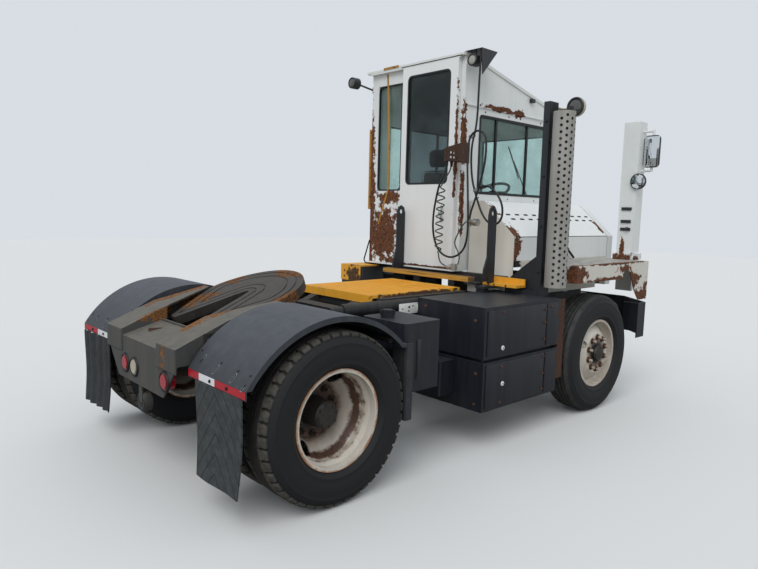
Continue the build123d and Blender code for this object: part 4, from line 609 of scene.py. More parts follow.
def lamp_lenses():
    """Moulded acrylic lenses: red at the rear but for one clear, clear in front, with prisms 8 mm wide."""
    tree, shader, place = start_material("lamp_lenses")
    along, side = [add(tree, "SeparateXYZ", {0: place}, axis) for axis in "XY"]
    past_middle = add(tree, "Math", {0: side, 1: 0.0}, operation="GREATER_THAN")
    short_of_left = add(tree, "Math", {0: side, 1: 0.15}, operation="LESS_THAN")
    middle = add(tree, "Math", {0: past_middle, 1: short_of_left}, operation="MULTIPLY")
    in_front = add(tree, "Math", {0: along, 1: 0.0}, operation="GREATER_THAN")
    clear = add(tree, "Math", {0: middle, 1: in_front}, operation="MAXIMUM")
    tone = add(tree, "Mix", {0: clear, 6: linear("a1182a"), 7: linear("b9b09a")}, 2, data_type="RGBA")
    prisms = add(tree, "TexVoronoi", {"Vector": place, "Scale": grain(8)})
    bumped = add(tree, "Bump", {"Height": prisms, "Strength": 0.5, "Distance": 0.001})
    feed(tree, shader, {"Base Color": tone, "Roughness": 0.18, "Coat Weight": 0.6, "Normal": bumped})


def spot(x, y, z, rx, ry, rz):
    """Rust zone: its centre, with X ahead of the rear axle, and its reach each way."""
    return (ahead(x), y, z), (rx, ry, rz)


cab_rust = (
    spot(2.2, 0.86, 1.47, 0.08, 0.33, 0.36), spot(2.2, 0.78, 1.86, 0.06, 0.2, 0.09),
    spot(2.2, 1.05, 1.6, 0.1, 0.09, 0.95), spot(2.2, 1.06, 2.35, 0.06, 0.05, 0.55),
    spot(2.21, -0.16, 2.4, 0.045, 0.045, 0.34), spot(2.215, -0.165, 1.8, 0.035, 0.03, 0.42),
    spot(2.75, -0.17, 2.69, 0.4, 0.03, 0.03), spot(3.03, -0.17, 2.69, 0.14, 0.03, 0.045),
    spot(2.2, 0.66, 1.22, 0.06, 0.4, 0.04), spot(3.9, 1.05, 1.25, 0.3, 0.06, 0.12),
    spot(2.9, 1.055, 1.21, 0.7, 0.04, 0.06))
hood_rust = (
    spot(2.35, -0.6, 1.5, 0.13, 0.16, 0.16), spot(2.34, -0.66, 1.36, 0.08, 0.06, 0.2),
    spot(2.34, -0.44, 1.76, 0.08, 0.16, 0.07), spot(3.93, -0.55, 1.6, 0.05, 0.15, 0.1))
deck_rust = (
    spot(2.47, -1.2, 1.22, 0.17, 0.1, 0.14), spot(3.05, -1.21, 1.165, 0.8, 0.06, 0.032),
    spot(3.3, -1.21, 1.25, 0.16, 0.05, 0.05), spot(3.55, -1.21, 0.99, 0.3, 0.05, 0.09),
    spot(3.45, -1.21, 1.14, 0.14, 0.05, 0.12), spot(3.1, -1.2, 1.305, 0.8, 0.05, 0.02),
    spot(3.7, -1.15, 1.07, 0.07, 0.12, 0.14))
post_rust = (
    spot(3.74, -0.98, 1.32, 0.14, 0.2, 0.06), spot(3.72, -0.95, 1.4, 0.03, 0.03, 0.16))
step_rust = (
    spot(1.95, 1.01, 1.06, 0.1, 0.14, 0.13), spot(1.44, -0.42, 1.06, 0.6, 0.04, 0.03))
door_rust = (
    spot(2.16, -0.115, 2.3, 0.03, 0.02, 0.55), spot(2.16, 0.2, 1.2, 0.03, 0.5, 0.02))
box_rust = (spot(2.29, -1.2, 0.72, 0.065, 0.05, 0.6),)
coupler_rust = (
    spot(0.1, -0.46, 1.08, 0.5, 0.1, 0.2), spot(0.48, -0.1, 1.22, 0.12, 0.45, 0.1),
    spot(-0.1, 0.3, 1.03, 0.25, 0.14, 0.08), spot(0.25, 0.4, 1.15, 0.2, 0.12, 0.1))
ramp_rust = (
    spot(-0.2, -0.31, 1.04, 0.3, 0.06, 0.1), spot(-0.1, 0.5, 1.05, 0.5, 0.06, 0.12),
    spot(-0.45, -0.3, 0.98, 0.16, 0.05, 0.06), spot(-0.4, 0.28, 0.97, 0.3, 0.04, 0.05),
    spot(-0.66, -0.36, 0.8, 0.03, 0.05, 0.1))

# white alkyd enamel on steel sheet: bright, with a soft gloss and rust at the seams
sprayed("cab_enamel", "e9ebe9", "dfe1de", 0.42, bare=0.76, zones=cab_rust, dirt="9c9080")
sprayed("door_enamel", "ecedec", "e4e6e4", 0.38, bare=0.86, zones=door_rust, runs=0.06)
sprayed("roof_enamel", "e4e6e3", "d5d7d3", 0.48, bare=0.8, top_dust_and_sheen=("b9b6ac", 0.35))
sprayed("hood_enamel", "eaecea", "e1e3e0", 0.4, bare=0.82, zones=hood_rust, runs=0.06)
sprayed("deck_enamel", "dfdcd3", "cdc8bb", 0.5, bare=0.7, zones=deck_rust, dirt="84684c", runs=0.12,
        top_dust_and_sheen=("85827c", 1.0))
sprayed("post_enamel", "e6e8e6", "dbddda", 0.42, bare=0.84, zones=post_rust, runs=0.06)
sprayed("nose_enamel", "e4e6e3", "d6d8d4", 0.45, bare=0.76)
# yellow and black enamel on plate: duller, trodden and knocked through to rust
sprayed("step_yellow", "f0a824", "dd9f28", 0.55, bare=0.66, zones=step_rust, rust=("3a2a1e", "6b4a2c"),
        dirt="6b5526", runs=0.3, top_dust_and_sheen=("c79c44", 0.4), bump=0.3)
sprayed("handle_yellow", "c08a2a", "9e7026", 0.55, bare=0.57, rust=("4a3120", "7a4c28"))
sprayed("box_black", "12141b", "1a1d27", 0.4, bare=0.78, zones=box_rust, rust=("33221a", "5b3a28"),
        dirt="4f5054", runs=0.22, top_dust_and_sheen=("3c3e44", 0.6))
sprayed("post_black", "14161a", "20232a", 0.45, bare=0.76, rust=("33241c", "5e402c"), dirt="5a5a5a")
# thin paint on rolled steel, and the coupler's greased plate: dark, uneven gloss, dust on top
sprayed("frame_black", "191b1e", "292a2c", 0.6, bare=0.66, rust=("33251c", "5f422a"), dirt="5b5349", runs=0.4,
        top_dust_and_sheen=("4c463d", 0.6), bump=0.3)
sprayed("ramp_steel", "3a3c3d", "4b4a47", 0.58, bare=0.66, zones=ramp_rust, rust=("4a3322", "94612f"),
        dirt="655a49", runs=0.6, top_dust_and_sheen=("6c675c", 0.85), bump=0.3)
sprayed("coupler_steel", "2e2b29", "4a443e", 0.48, bare=0.62, zones=coupler_rust, fray=3.4,
        rust=("4a3322", "8a5b30"), dirt="1b1917", runs=0.8, top_dust_and_sheen=("4a443d", 0.5), bump=0.5, metallic=0.3)
# moulded polyethylene: smooth black, greyed by road dust; its upward faces lighter, partly with dust and
# partly with a painted highlight for the sheen at the top
sprayed("fender_plastic", "282b30", "383c42", 0.52, bare=0.95, dirt="62656a", runs=0.25,
        top_dust_and_sheen=("565a60", 0.55), bump=0.05)
# moulded rubber and nylon: matt grey-black sheets, lines with a faint shine
ribbed_flap("flap_rubber", "303437", "5a5d5c", True)
ribbed_flap("folded_rubber", "272a2d", "46484a", False)
moulded("hose_rubber", "15181a", 0.5, cells=16, bump=0.06)
moulded("air_line_nylon", "24403b", 0.38, cells=25, bump=0.04, coat=0.3)
# aluminised sheet: pale dull metal with brown runs
sprayed("shield_steel", "b0afa9", "94918a", 0.4, bare=0.74, dirt="6b6256", runs=0.45, metallic=0.35)
# rusted, cast and greasy parts: rough and dark brown, only the grease shines
sprayed("bracket_rust", "3c2c24", "523829", 0.75, bare=0.55)
sprayed("cast_iron", "37332f", "4d4640", 0.7, bare=0.6, rust=("45301f", "6b4a30"), dirt="2a2725", runs=0.5,
        top_dust_and_sheen=("544c42", 0.5), bump=0.5)
sprayed("hub_grease", "24211f", "38332f", 0.5, bare=0.66, rust=("38261a", "553724"), dirt="171514",
        runs=0.5, bump=0.35)
# ground and chromed rod: a clean mirror
moulded("rod_chrome", "c9ccd0", 0.16, metallic=1.0, cells=3.3, bump=0.02, vary=0.1)
# rusted nuts: matt brown
sprayed("nut_rust", "4a3024", "60402c", 0.8, bare=0.6)
# moulded plastics and rubber, pressed lamp glass: even colour, satin to glossy
moulded("inside_plastic", "26282c", 0.6, cells=8)
moulded("seal_rubber", "121315", 0.55, cells=12)
moulded("lamp_shell", "26282a", 0.4, cells=20)
moulded("lamp_glass", "a9a79c", 0.12, cells=14, bump=0.3, coat=0.8)
moulded("smoked_glass", "4a4a48", 0.12, cells=14, bump=0.3, coat=0.8)
# silvered glass and zinc plating: sharp and dull reflections
moulded("mirror_silver", "d8dcdf", 0.02, metallic=1.0, cells=100, bump=0.0, vary=0.02)
moulded("zinc_plate", "b4b2ab", 0.35, metallic=0.9, cells=12)
# small parts: scuffed edges, blackened bolts, black sheets of painted shade in openings that give no light
# back, a painted plate
moulded("scuffed_edge", "8d9096", 0.5, cells=16)
moulded("bolt_black", "1a1b1d", 0.5, cells=12)
moulded("void_black", "060708", 0.9, cells=30)
sprayed("plate_white", "e9e9e5", "dadad4", 0.5, bare=0.86)
sawn_plank()
tyre_rubber("drive_rubber", "0f1114", "35332f", 0.505)
tyre_rubber("lug_rubber", "1c1c1c", "5a564e", 0.505)
tyre_rubber("steer_rubber", "111316", "4a4946", 0.514)
woven_cloth()
window_glass("side_glass", "ecf6f4", 0.22)
window_glass("door_glass", "a3abae", 0.1)
lamp_lenses()
# pressed wheels: white enamel, grease round the hub and a rusty lip; on the rear wheels the dark brown band
# about 230 to 260 mm out is rust with painted shade in the well
disc_wheel("rear_disc", axle_x, (
    (0.0, "2c2927", 1.0), (0.104, "2f2a27", 1.0), (0.112, "452d1f", 1.0), (0.168, "533424", 0.95),
    # rings from 0.234 to 0.256 m: rust with painted shade in the well
    (0.196, "7a5233", 0.4), (0.222, "6b4429", 0.25), (0.234, "472c1e", 1.0), (0.256, "4f3122", 1.0),
    (0.264, "8a5c34", 0.12), (0.286, "a0703e", 0.1), (0.295, "a5662c", 0.85)))
disc_wheel("front_disc", steer_x, (
    (0.0, "24211f", 1.0), (0.085, "2b2623", 1.0), (0.098, "4a3020", 0.9), (0.118, "5b3a26", 0.75),
    (0.15, "6b4429", 0.35), (0.165, "8a6a48", 0.05), (0.262, "8a6a48", 0.05), (0.276, "6b4a30", 0.45),
    (0.288, "8a6a48", 0.05), (0.297, "7a5232", 0.5)))
reflective_film("red_white_film", (
    (-1.2, "b3192a"), (-0.89, "e8e8ea"), (-0.71, "b3192a"), (0.0, "b3192a"), (0.66, "e8e8ea"),
    (0.9, "b3192a"), (1.2, "b3192a")), 9)

# nodes of the frame that get each finish
finishes = {
    "frame_black": "frame_rails frame_brackets cab_carriers boom_arms lift_barrels tie_rod",
    "ramp_steel": "rear_deck",
    "cast_iron": "rear_axle front_axle engine muffler knuckle_left knuckle_right",
    "fender_plastic": "rear_fenders",
    "red_white_film": "reflector_strips",
    "lamp_lenses": "road_lamps",
    "box_black": "side_box side_box_covers hydraulic_tank fuel_tank front_bumper",
    "post_black": "left_steps cab_posts stack_post",
    "step_yellow": "yellow_steps boom_deck",
    "sawn_plank": "plank",
    "deck_enamel": "right_deck",
    "nose_enamel": "nose",
    "post_enamel": "mirror_post",
    "lamp_shell": "right_mirrors left_mirrors work_lamps",
    "shield_steel": "stack_shield",
    "coupler_steel": "fifth_wheel",
    "rod_chrome": "lift_rods",
    "front_disc": "rim_front_left rim_front_right",
    "rear_disc": "rims_rear_left rims_rear_right",
    "cab_enamel": "cab_shell",
    "roof_enamel": "cab_roof",
    "side_glass": "cab_glass",
    "inside_plastic": "cab_inside steering_wheel",
    "handle_yellow": "cab_handles",
    "door_enamel": "rear_door",
    "door_glass": "rear_door_glass",
    "hood_enamel": "hood",
    "bracket_rust": "hose_bracket",
    "zinc_plate": "line_couplings",
    "steer_rubber": "tyre_front_left tyre_front_right",
    "drive_rubber": "tyres_rear_left tyres_rear_right",
    "flap_rubber": "mud_flaps",
    "seat_cloth": "seat_cushions",
    "hose_rubber": "air_hose light_cable",
    "air_line_nylon": "air_line_coil",
}


def dress_frame():
    """Every carried-over node gets its finish."""
    for finish_name, nodes in finishes.items():
        for node in nodes.split():
            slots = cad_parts[node].data.materials
            slots.clear()
            slots.append(make[finish_name])


# ---- trailer lines: route points in metres, X ahead of the rear axle

hose_diameter = 0.018
air_line_diameter = 0.012
coil_diameter = 0.078
coil_turns = 9.5
steps_a_turn = 14
# steps between a line's control points
route_steps, coil_steps = 8, 4
air_hose_route = (
    (1.976, -0.18, 2.16), (1.976, -0.18, 2.085), (1.938, -0.142, 1.977), (1.935, -0.112, 1.865),
    (1.97, -0.048, 1.707), (2.0, -0.019, 1.546), (2.05, -0.022, 1.405), (2.06, -0.101, 1.329),
    (2.06, -0.22, 1.314), (2.06, -0.332, 1.379), (2.06, -0.375, 1.499), (2.065, -0.368, 1.689),
    (2.09, -0.332, 1.914), (2.115, -0.295, 2.132), (2.13, -0.283, 2.27), (2.145, -0.285, 2.384),
    (2.15, -0.37, 2.433), (2.15, -0.455, 2.384), (2.15, -0.468, 2.265), (2.15, -0.455, 2.12),
    (2.15, -0.412, 1.96), (2.14, -0.377, 1.83), (2.125, -0.345, 1.724), (2.12, -0.34, 1.66))
light_cable_route = (
    (2.192, -0.331, 3.12), (2.192, -0.331, 2.995), (2.184, -0.332, 2.85), (2.186, -0.329, 2.69),
    (2.188, -0.325, 2.55), (2.184, -0.314, 2.43), (2.172, -0.292, 2.325), (2.17, -0.288, 2.18),
    (2.17, -0.309, 2.01), (2.17, -0.348, 1.899), (2.171, -0.387, 1.804), (2.17, -0.44, 1.7),
    (2.17, -0.51, 1.632), (2.17, -0.595, 1.618), (2.17, -0.652, 1.68), (2.17, -0.65, 1.775),
    (2.17, -0.61, 1.855), (2.17, -0.54, 1.925), (2.17, -0.462, 1.96), (2.168, -0.395, 1.93))
air_lead_route = (
    (2.036, -0.182, 2.16), (2.036, -0.182, 2.095), (2.012, -0.138, 2.015), (2.0, -0.112, 1.964))
air_coil_route = (
    (2.0, -0.112, 1.964), (2.0, -0.101, 1.76), (2.0, -0.094, 1.56), (2.0, -0.1, 1.345))
air_tail_route = (
    (2.0, -0.1, 1.345), (2.0, -0.106, 1.29), (2.006, -0.15, 1.248), (2.015, -0.215, 1.236))
air_rise_route = (
    (2.05, -0.285, 1.262), (2.082, -0.283, 1.32), (2.085, -0.25, 1.378), (2.08, -0.205, 1.447),
    (2.085, -0.247, 1.537), (2.092, -0.293, 1.618), (2.106, -0.33, 1.65))


def nurbs_line(name, places, radius, steps, sides):
    """Smooth line through control points, round and as thick as the hose."""
    curve = bpy.data.curves.new(name, "CURVE")
    curve.dimensions = "3D"
    curve.resolution_u = curve.render_resolution_u = steps
    spline = curve.splines.new("NURBS")
    spline.points.add(len(places) - 1)
    for control, place in zip(spline.points, places):
        control.co = (*place, 1)
    spline.order_u = 3
    spline.use_endpoint_u = True
    curve.bevel_depth = radius
    curve.bevel_resolution = sides
    curve.use_fill_caps = True
    piece = bpy.data.objects.new(name, curve)
    bpy.context.scene.collection.objects.link(piece)
    return piece


def followed(places, steps=route_steps):
    """Points along the smooth line through control points."""
    guide = nurbs_line("guide", places, 0.0, steps, 0)
    bpy.context.view_layer.update()
    mesh = bpy.data.meshes.new_from_object(guide.evaluated_get(bpy.context.evaluated_depsgraph_get()))
    points = [v.co.copy() for v in mesh.vertices]
    bpy.data.meshes.remove(mesh)
    bpy.data.objects.remove(guide)
    return points


def line_length(points):
    """Length along a list of points."""
    return sum((b - a).length for a, b in zip(points, points[1:]))


def hung(piece, node, finish_name, places, steps):
    """A line in its finish, attached to the cab in place of its node; its length from its first place is
    worked out but not used.
    """
    length = line_length(followed(places, steps))
    piece.data.materials.append(make[finish_name])
    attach(piece, "cab")
    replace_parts(piece, node)


def hang_line(name, node, route, diameter, finish_name):
    """A plain hose along its route."""
    places = [point(*place) for place in route]
    piece = nurbs_line(name, places, diameter / 2, route_steps, 4)
    hung(piece, node, finish_name, places, route_steps)


def coiled_air_line(end_piece):
    """Curly air line: straight lead, helix about the coil's route, and the tail to its coupling."""
    lead, axis, tail = [followed([point(*place) for place in route])
                        for route in (air_lead_route, air_coil_route, air_tail_route)]
    turn_r = (coil_diameter - air_line_diameter) / 2
    total = line_length(axis)
    count = int(coil_turns * steps_a_turn)
    helix = []
    for i in range(count + 1):
        want = total * i / count
        walked = 0.0
        for a, b in zip(axis, axis[1:]):
            run = (b - a).length
            if walked + run >= want - 1e-9:
                centre = a + (b - a) * ((want - walked) / run)
                break
            walked += run
        grow = min(1.0, i / steps_a_turn, (count - i) / steps_a_turn)
        angle = math.tau * i / steps_a_turn
        helix.append(centre + Vector((math.cos(angle), math.sin(angle), 0)) * turn_r * grow)
    places = lead[:-1] + helix + tail[1:]
    piece = nurbs_line("coiled_air_line", places, air_line_diameter / 2, coil_steps, 3)
    hung(piece, "air_line_coil", "air_line_nylon", places, coil_steps)


def ferrule(name, start, end):
    """Crimped sleeve at the end of an air line."""
    return finish(bar(start, end, 0.0095, 20, 0.002), name, "cab", "zinc_plate")


def trailer_lines():
    """The two hoses, the curly air line and its free end."""
    hang_line("air_hose_line", "air_hose", air_hose_route, hose_diameter, "hose_rubber")
    plug = bar((2.17, -0.445, 1.952), (2.168, -0.37, 1.918), 0.0145, 20, 0.004)
    finish(plug, "cable_plug", "cab", "lamp_shell")
    hang_line("light_cable_line", "light_cable", light_cable_route, hose_diameter, "hose_rubber")
    coiled_air_line(ferrule("coil_ferrule", (2.009, -0.175, 1.243), (2.016, -0.218, 1.235)))
    sleeve = ferrule("rise_ferrule", (2.101, -0.318, 1.635), (2.107, -0.331, 1.653))
    hang_line("air_rise_line", "air_line_coil", air_rise_route, air_line_diameter, "air_line_nylon")


# ---- tyres: section as (radius, side) in metres from the tyre's middle

half_wall = (
    (0.2865, 0.093), (0.2905, 0.096), (0.301, 0.0975), (0.31, 0.11), (0.326, 0.1265), (0.331, 0.1298),
    (0.335, 0.1285), (0.36, 0.135), (0.391, 0.1385), (0.425, 0.1372), (0.445, 0.134), (0.449, 0.1352),
    (0.453, 0.1325), (0.472, 0.1255))
drive_shoulder = (
    (0.483, 0.115), (0.49, 0.104), (0.4985, 0.086), (0.501, 0.06), (0.501, 0.054), (0.513, 0.052),
    (0.5136, 0.032), (0.501, 0.0295), (0.501, 0.0245), (0.5138, 0.022))
steer_shoulder = (
    (0.488, 0.1172), (0.499, 0.11), (0.508, 0.1), (0.513, 0.09), (0.5145, 0.079), (0.505, 0.0765),
    (0.505, 0.0665), (0.5147, 0.064), (0.5148, 0.047), (0.503, 0.044), (0.503, 0.035), (0.5149, 0.032),
    (0.5149, 0.011), (0.503, 0.005))
lug_outline = (
    (-0.031, 0.057), (-0.034, 0.074), (-0.024, 0.092), (-0.029, 0.1165), (0.021, 0.1165), (0.03, 0.092),
    (0.022, 0.074), (0.031, 0.057))
lug_count, lug_depth = 45, 0.032
# past each distance from the middle, a lug's face lies lower by so much more
lug_falls = ((0.07, 0.0012), (0.09, 0.0028), (0.106, 0.0105))
sides = ((1, "left"), (-1, "right"))


def tyre_casing(shoulder, centre, steps):
    """Wall, shoulder and tread floor on both sides, turned about the axle."""
    side = half_wall + shoulder
    profile = list(side) + [(r, -along) for r, along in reversed(side)] + [side[0]]
    return lathe(profile, centre, "Y", steps)


def drive_lugs():
    """Shoulder lugs with zigzag edges, once round the tyre and mirrored half a pitch on."""
    centre = point(0, 0, axle_z)
    crown = centre.z + tyre_r - 0.0012
    lug = extruded([(centre.x + x, y, crown - lug_depth) for x, y in lug_outline], (0, 0, lug_depth), 0.0025)
    edit(lug)
    for past, drop in lug_falls:
        choose_faces(lug, lambda face, normal: normal.z > -0.5 and face.z > crown - 0.008 and face.y > past)
        bpy.ops.transform.translate(value=(0, 0, -drop))
    leave_edit()
    turns = [turned_about(centre, "Y", math.tau * k / lug_count) for k in range(lug_count)]
    half = turned_about(centre, "Y", math.pi / lug_count)
    return turned_outwards(copied(lug, turns + [half @ turn @ mirrored for turn in turns]))


def all_tyres():
    """Twin drive tyres with lugs at the rear, ribbed steer tyres at the front."""
    casing = tyre_casing(drive_shoulder, (0, 0, axle_z), 90)
    lugs = drive_lugs()
    for side, where in sides:
        twins = [Matrix.Translation((0, side * y, 0)) for y in (tyre_y, tyre_y - dual_step)]
        body = "wheels_rear_" + where
        finish(copied(twin_of(lugs), twins), "drive_lugs_" + where, body, "lug_rubber")
        piece = finish(copied(twin_of(casing), twins), "drive_tyres_" + where, body, "drive_rubber")
        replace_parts(piece, "tyres_rear_" + where)
        piece = tyre_casing(steer_shoulder, (wheelbase, side * tyre_y, axle_z), 120)
        finish(piece, "steer_tyre_" + where, "wheel_front_" + where, "steer_rubber")
        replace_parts(piece, "tyre_front_" + where)
    bpy.data.objects.remove(casing)
    bpy.data.objects.remove(lugs)


def bolt_ring(x, y, side, count, first, reach, size):
    """Rows for bolts in a ring round a hub, the first so many degrees from the front."""
    turns = [math.radians(first + 360 / count * k) for k in range(count)]
    return [((x + reach * math.cos(turn), side * y, axle_z + reach * math.sin(turn)), (0, side, 0), size)
            for turn in turns]


def wheel_trim():
    """Nuts on every stud, bolts round the drive hubs, and grease caps in front."""
    stud_ring = 0.142
    for side, where in sides:
        rows = bolt_ring(0, 0.93, side, 10, 18, stud_ring, 0.019)
        rows += bolt_ring(0, 1.08, side, 8, 10, 0.064, 0.009)
        bolted("drive_wheel_nuts_" + where, "wheels_rear_" + where, rows, "hub_grease")
        bolted("steer_wheel_nuts_" + where, "wheel_front_" + where,
               bolt_ring(wheelbase, 1.178, side, 10, 18, stud_ring, 0.021))
        cap = lathe(((0.0005, 0.0478), (0.03, 0.0476), (0.044, 0.0462), (0.052, 0.04), (0.054, 0.03),
                     (0.052, 0.004)), (wheelbase, 1.1645, axle_z), "Y", 32)
        if side < 0:
            cap.data.transform(mirrored)
            turned_outwards(cap)
        finish(cap, "steer_hub_cap_" + where, "wheel_front_" + where, "hub_grease")


# ---- rear end

flap_x, flap_y, flap_width = -0.618, 0.92, 0.5
flap_top, flap_bottom = 0.745, 0.205
flap_columns, flap_rows = 24, 20
side_strip = (
    (0.5253, 1.062), (0.5253, 1.168), (0.529, 1.184), (0.54, 1.1915), (0.565, 1.192), (0.587, 1.189),
    (0.587, 1.18), (0.564, 1.183), (0.544, 1.18), (0.5373, 1.169), (0.5373, 1.062))


def hanging_flap(middle, fold, taper):
    """Rubber sheet in hanging folds, narrower towards its foot, which swings out."""
    height = flap_top - flap_bottom
    bpy.ops.mesh.primitive_grid_add(x_subdivisions=flap_rows, y_subdivisions=flap_columns, size=1,
                                    location=point(flap_x, middle, flap_bottom + height / 2),
                                    rotation=(0, math.pi / 2, 0))
    bpy.context.active_object.scale = (height, flap_width, 1)
    flap = apply_place(bpy.context.active_object)
    edit(flap)
    for step in range(flap_columns + 1):
        y = middle + flap_width * (step / flap_columns - 0.5)
        turn = step / flap_columns * math.tau
        choose_points(flap, lambda place: abs(place.y - y) < 0.004)
        bpy.ops.transform.translate(value=(fold * math.sin(turn * 4) + 0.006 * math.sin(turn), 0, 0))
    for step in range(flap_rows + 1):
        z = flap_bottom + height * step / flap_rows
        low = 1 - step / flap_rows
        choose_points(flap, lambda place: abs(place.z - z) < 0.004)
        narrower = (1, 1 - taper * low ** 1.5, 1)
        bpy.ops.transform.resize(value=narrower, center_override=point(flap_x, middle, z))
        bpy.ops.transform.translate(value=(0.012 * math.sin(low * 4.2) * low, 0, 0))
    leave_edit()
    thickness = flap.modifiers.new("thickness", "SOLIDIFY")
    thickness.thickness = 0.008
    thickness.offset = 0
    bpy.ops.object.modifier_apply(modifier="thickness")
    return flap


def mud_flaps():
    """Right flap flat and chevron-ribbed, left flap in hanging folds, and two strips beside the tyres."""
    looks = ((0.011, 0.08, "folded_rubber"), (0.0, 0.12, "flap_rubber"))
    for (side, where), (fold, taper, rubber) in zip(sides, looks):
        flap = hanging_flap(side * flap_y, fold, taper)
        finish(flap, "mud_flap_" + where, "chassis", rubber)
        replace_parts(flap, "mud_flaps")
        strip = extruded([point(x, side * y, 0.4) for x, y in side_strip], (0, 0, 0.494), 0.0015)
        finish(strip, "tyre_side_strip_" + where, "chassis", "folded_rubber")
        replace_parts(strip, "mud_flaps")


def fender_trim():
    """Slots and bolts in the fender aprons, bolts through the tape, and grommets round the tail lamps."""
    slots = ((-0.568, 0.661, 0.852), (-0.585, 0.838, 0.83), (-0.59, 1.035, 0.824), (-0.6, 1.16, 0.808))
    frames = [facing(point(x, side * y, z), (-0.8, 0, 0.6), (0.55, side * 0.25, 0.8))
              for x, y, z in slots for side in (1, -1)]
    # each slot: a scuffed rim round a black sheet of painted shade for the opening
    for look, width, length, lift, name in (("scuffed_edge", 0.0085, 0.031, 0.0008, "apron_slot_edges"),
                                            ("void_black", 0.005, 0.027, 0.0016, "apron_slots")):
        corners = [(x, y, 0) for x, y in rectangle((-length, -width), (length, width))]
        source = extruded(rounded(corners, width * 0.98), (0, 0, lift))
        finish(copied(source, frames), name, "chassis", look)
    rows = [((x, side * y, z), (-0.75, 0, 0.66), 0.006) for side in (1, -1) for x, y, z in (
        (-0.54, 0.6, 0.886), (-0.558, 0.855, 0.865), (-0.562, 1.04, 0.859), (-0.562, 1.16, 0.859))]
    rows += [((-0.6165, y, 0.768), rearward, 0.008) for y in (-0.83, -1.01, 0.785, 1.01)]
    bolted("fender_bolts", "chassis", rows, "bolt_black")
    ring = ((0.05, -0.009), (0.053, -0.011), (0.062, -0.009), (0.067, -0.001), (0.067, 0.004), (0.05, 0.004),
            (0.05, -0.009))
    finish([lathe(ring, (-0.668, y, 0.675), "X", 32) for y in (0.225, 0.075, -0.375)],
           "tail_lamp_grommets", "chassis", "seal_rubber")
    can = lathe(((0.0005, -0.004), (0.02, -0.004), (0.024, -0.001), (0.04, -0.001), (0.044, -0.005),
                 (0.056, -0.005), (0.061, 0), (0.061, 0.006)), (-0.65, 0.02, 0.456), "X", 32)
    finish(can, "alarm_face", "chassis", "lamp_shell")
    tag = extruded(on_x(-0.6695, rectangle((-0.372, 0.796), (-0.356, 0.752))), (-0.003, 0, 0), 0.001)
    finish(tag, "rear_corner_tag", "chassis", "bracket_rust")
    stop = slab((-0.56, 0.1, 0.879), (-0.47, 0.109, 0.908), 0.001)
    stop.data.transform(turned_about(point(-0.515, 0.104, 0.89), "Z", math.radians(-28)))
    finish(stop, "deck_stop_bar", "chassis", "bracket_rust")
    finish(bar((0.15, -0.46, 1), (0.15, -0.33, 1), 0.009, 16, 0.002),
           "release_lever", "fifth_wheel", "bracket_rust")


# ---- cab

cab_wall = 0.1655
side_window = ((2.418, 1.893), (3.812, 1.893), (3.812, 2.575), (3.664, 2.612), (2.418, 2.612))
rail_section = (
    (-0.165, 2.668), (-0.179, 2.67), (-0.181, 2.678), (-0.176, 2.68), (-0.173, 2.675), (-0.165, 2.68))
strip_outline = (
    (0.826, 3.068), (0.806, 2.821), (0.782, 2.229), (0.784, 1.929), (0.918, 1.58), (0.934, 1.586),
    (0.806, 1.934), (0.806, 2.229), (0.83, 2.821), (0.85, 3.068))
strut_route = (
    (2.186, 1.04, 1.412), (2.186, 1.121, 1.205), (2.186, 1.1, 1.171), (2.186, 0.809, 1.171))


def cab_seals():
    """Rubber round every window, the sliding-window uprights and the black seam under the roof."""
    width = 0.024
    pieces = [ring_seal(rounded(on_y(y, side_window), 0.035), width, (0, run, 0))
              for y, run in ((-0.169, 0.03), (1.059, -0.03))]
    rear = rounded(on_x(2.2004, rectangle((0.62, 1.92), (0.96, 2.96))), 0.05)
    front = rounded(on_x(3.9245, rectangle((-0.087, 1.913), (0.977, 2.592))), 0.045)
    pieces += [ring_seal(rear, 0.014, (0.02, 0, 0)), ring_seal(front, width, (-0.018, 0, 0))]
    pieces += [slab((x - 0.013, y - 0.01, 1.905), (x + 0.013, y + 0.01, 2.602), 0.002)
               for x in (2.684, 3.188) for y in (-0.152, 1.042)]
    pieces.append(slab((2.1532, -0.16, 3.0865), (2.1562, 0.602, 3.0935), 0.0008))
    finish(pieces, "window_seals", "cab", "seal_rubber")
    pane = rounded(on_x(2.1552, rectangle((-0.033, 1.974), (0.508, 2.996))), 0.049)
    finish(ring_seal(pane, 0.017, (0.012, 0, 0)), "door_seal", "rear_door", "seal_rubber")


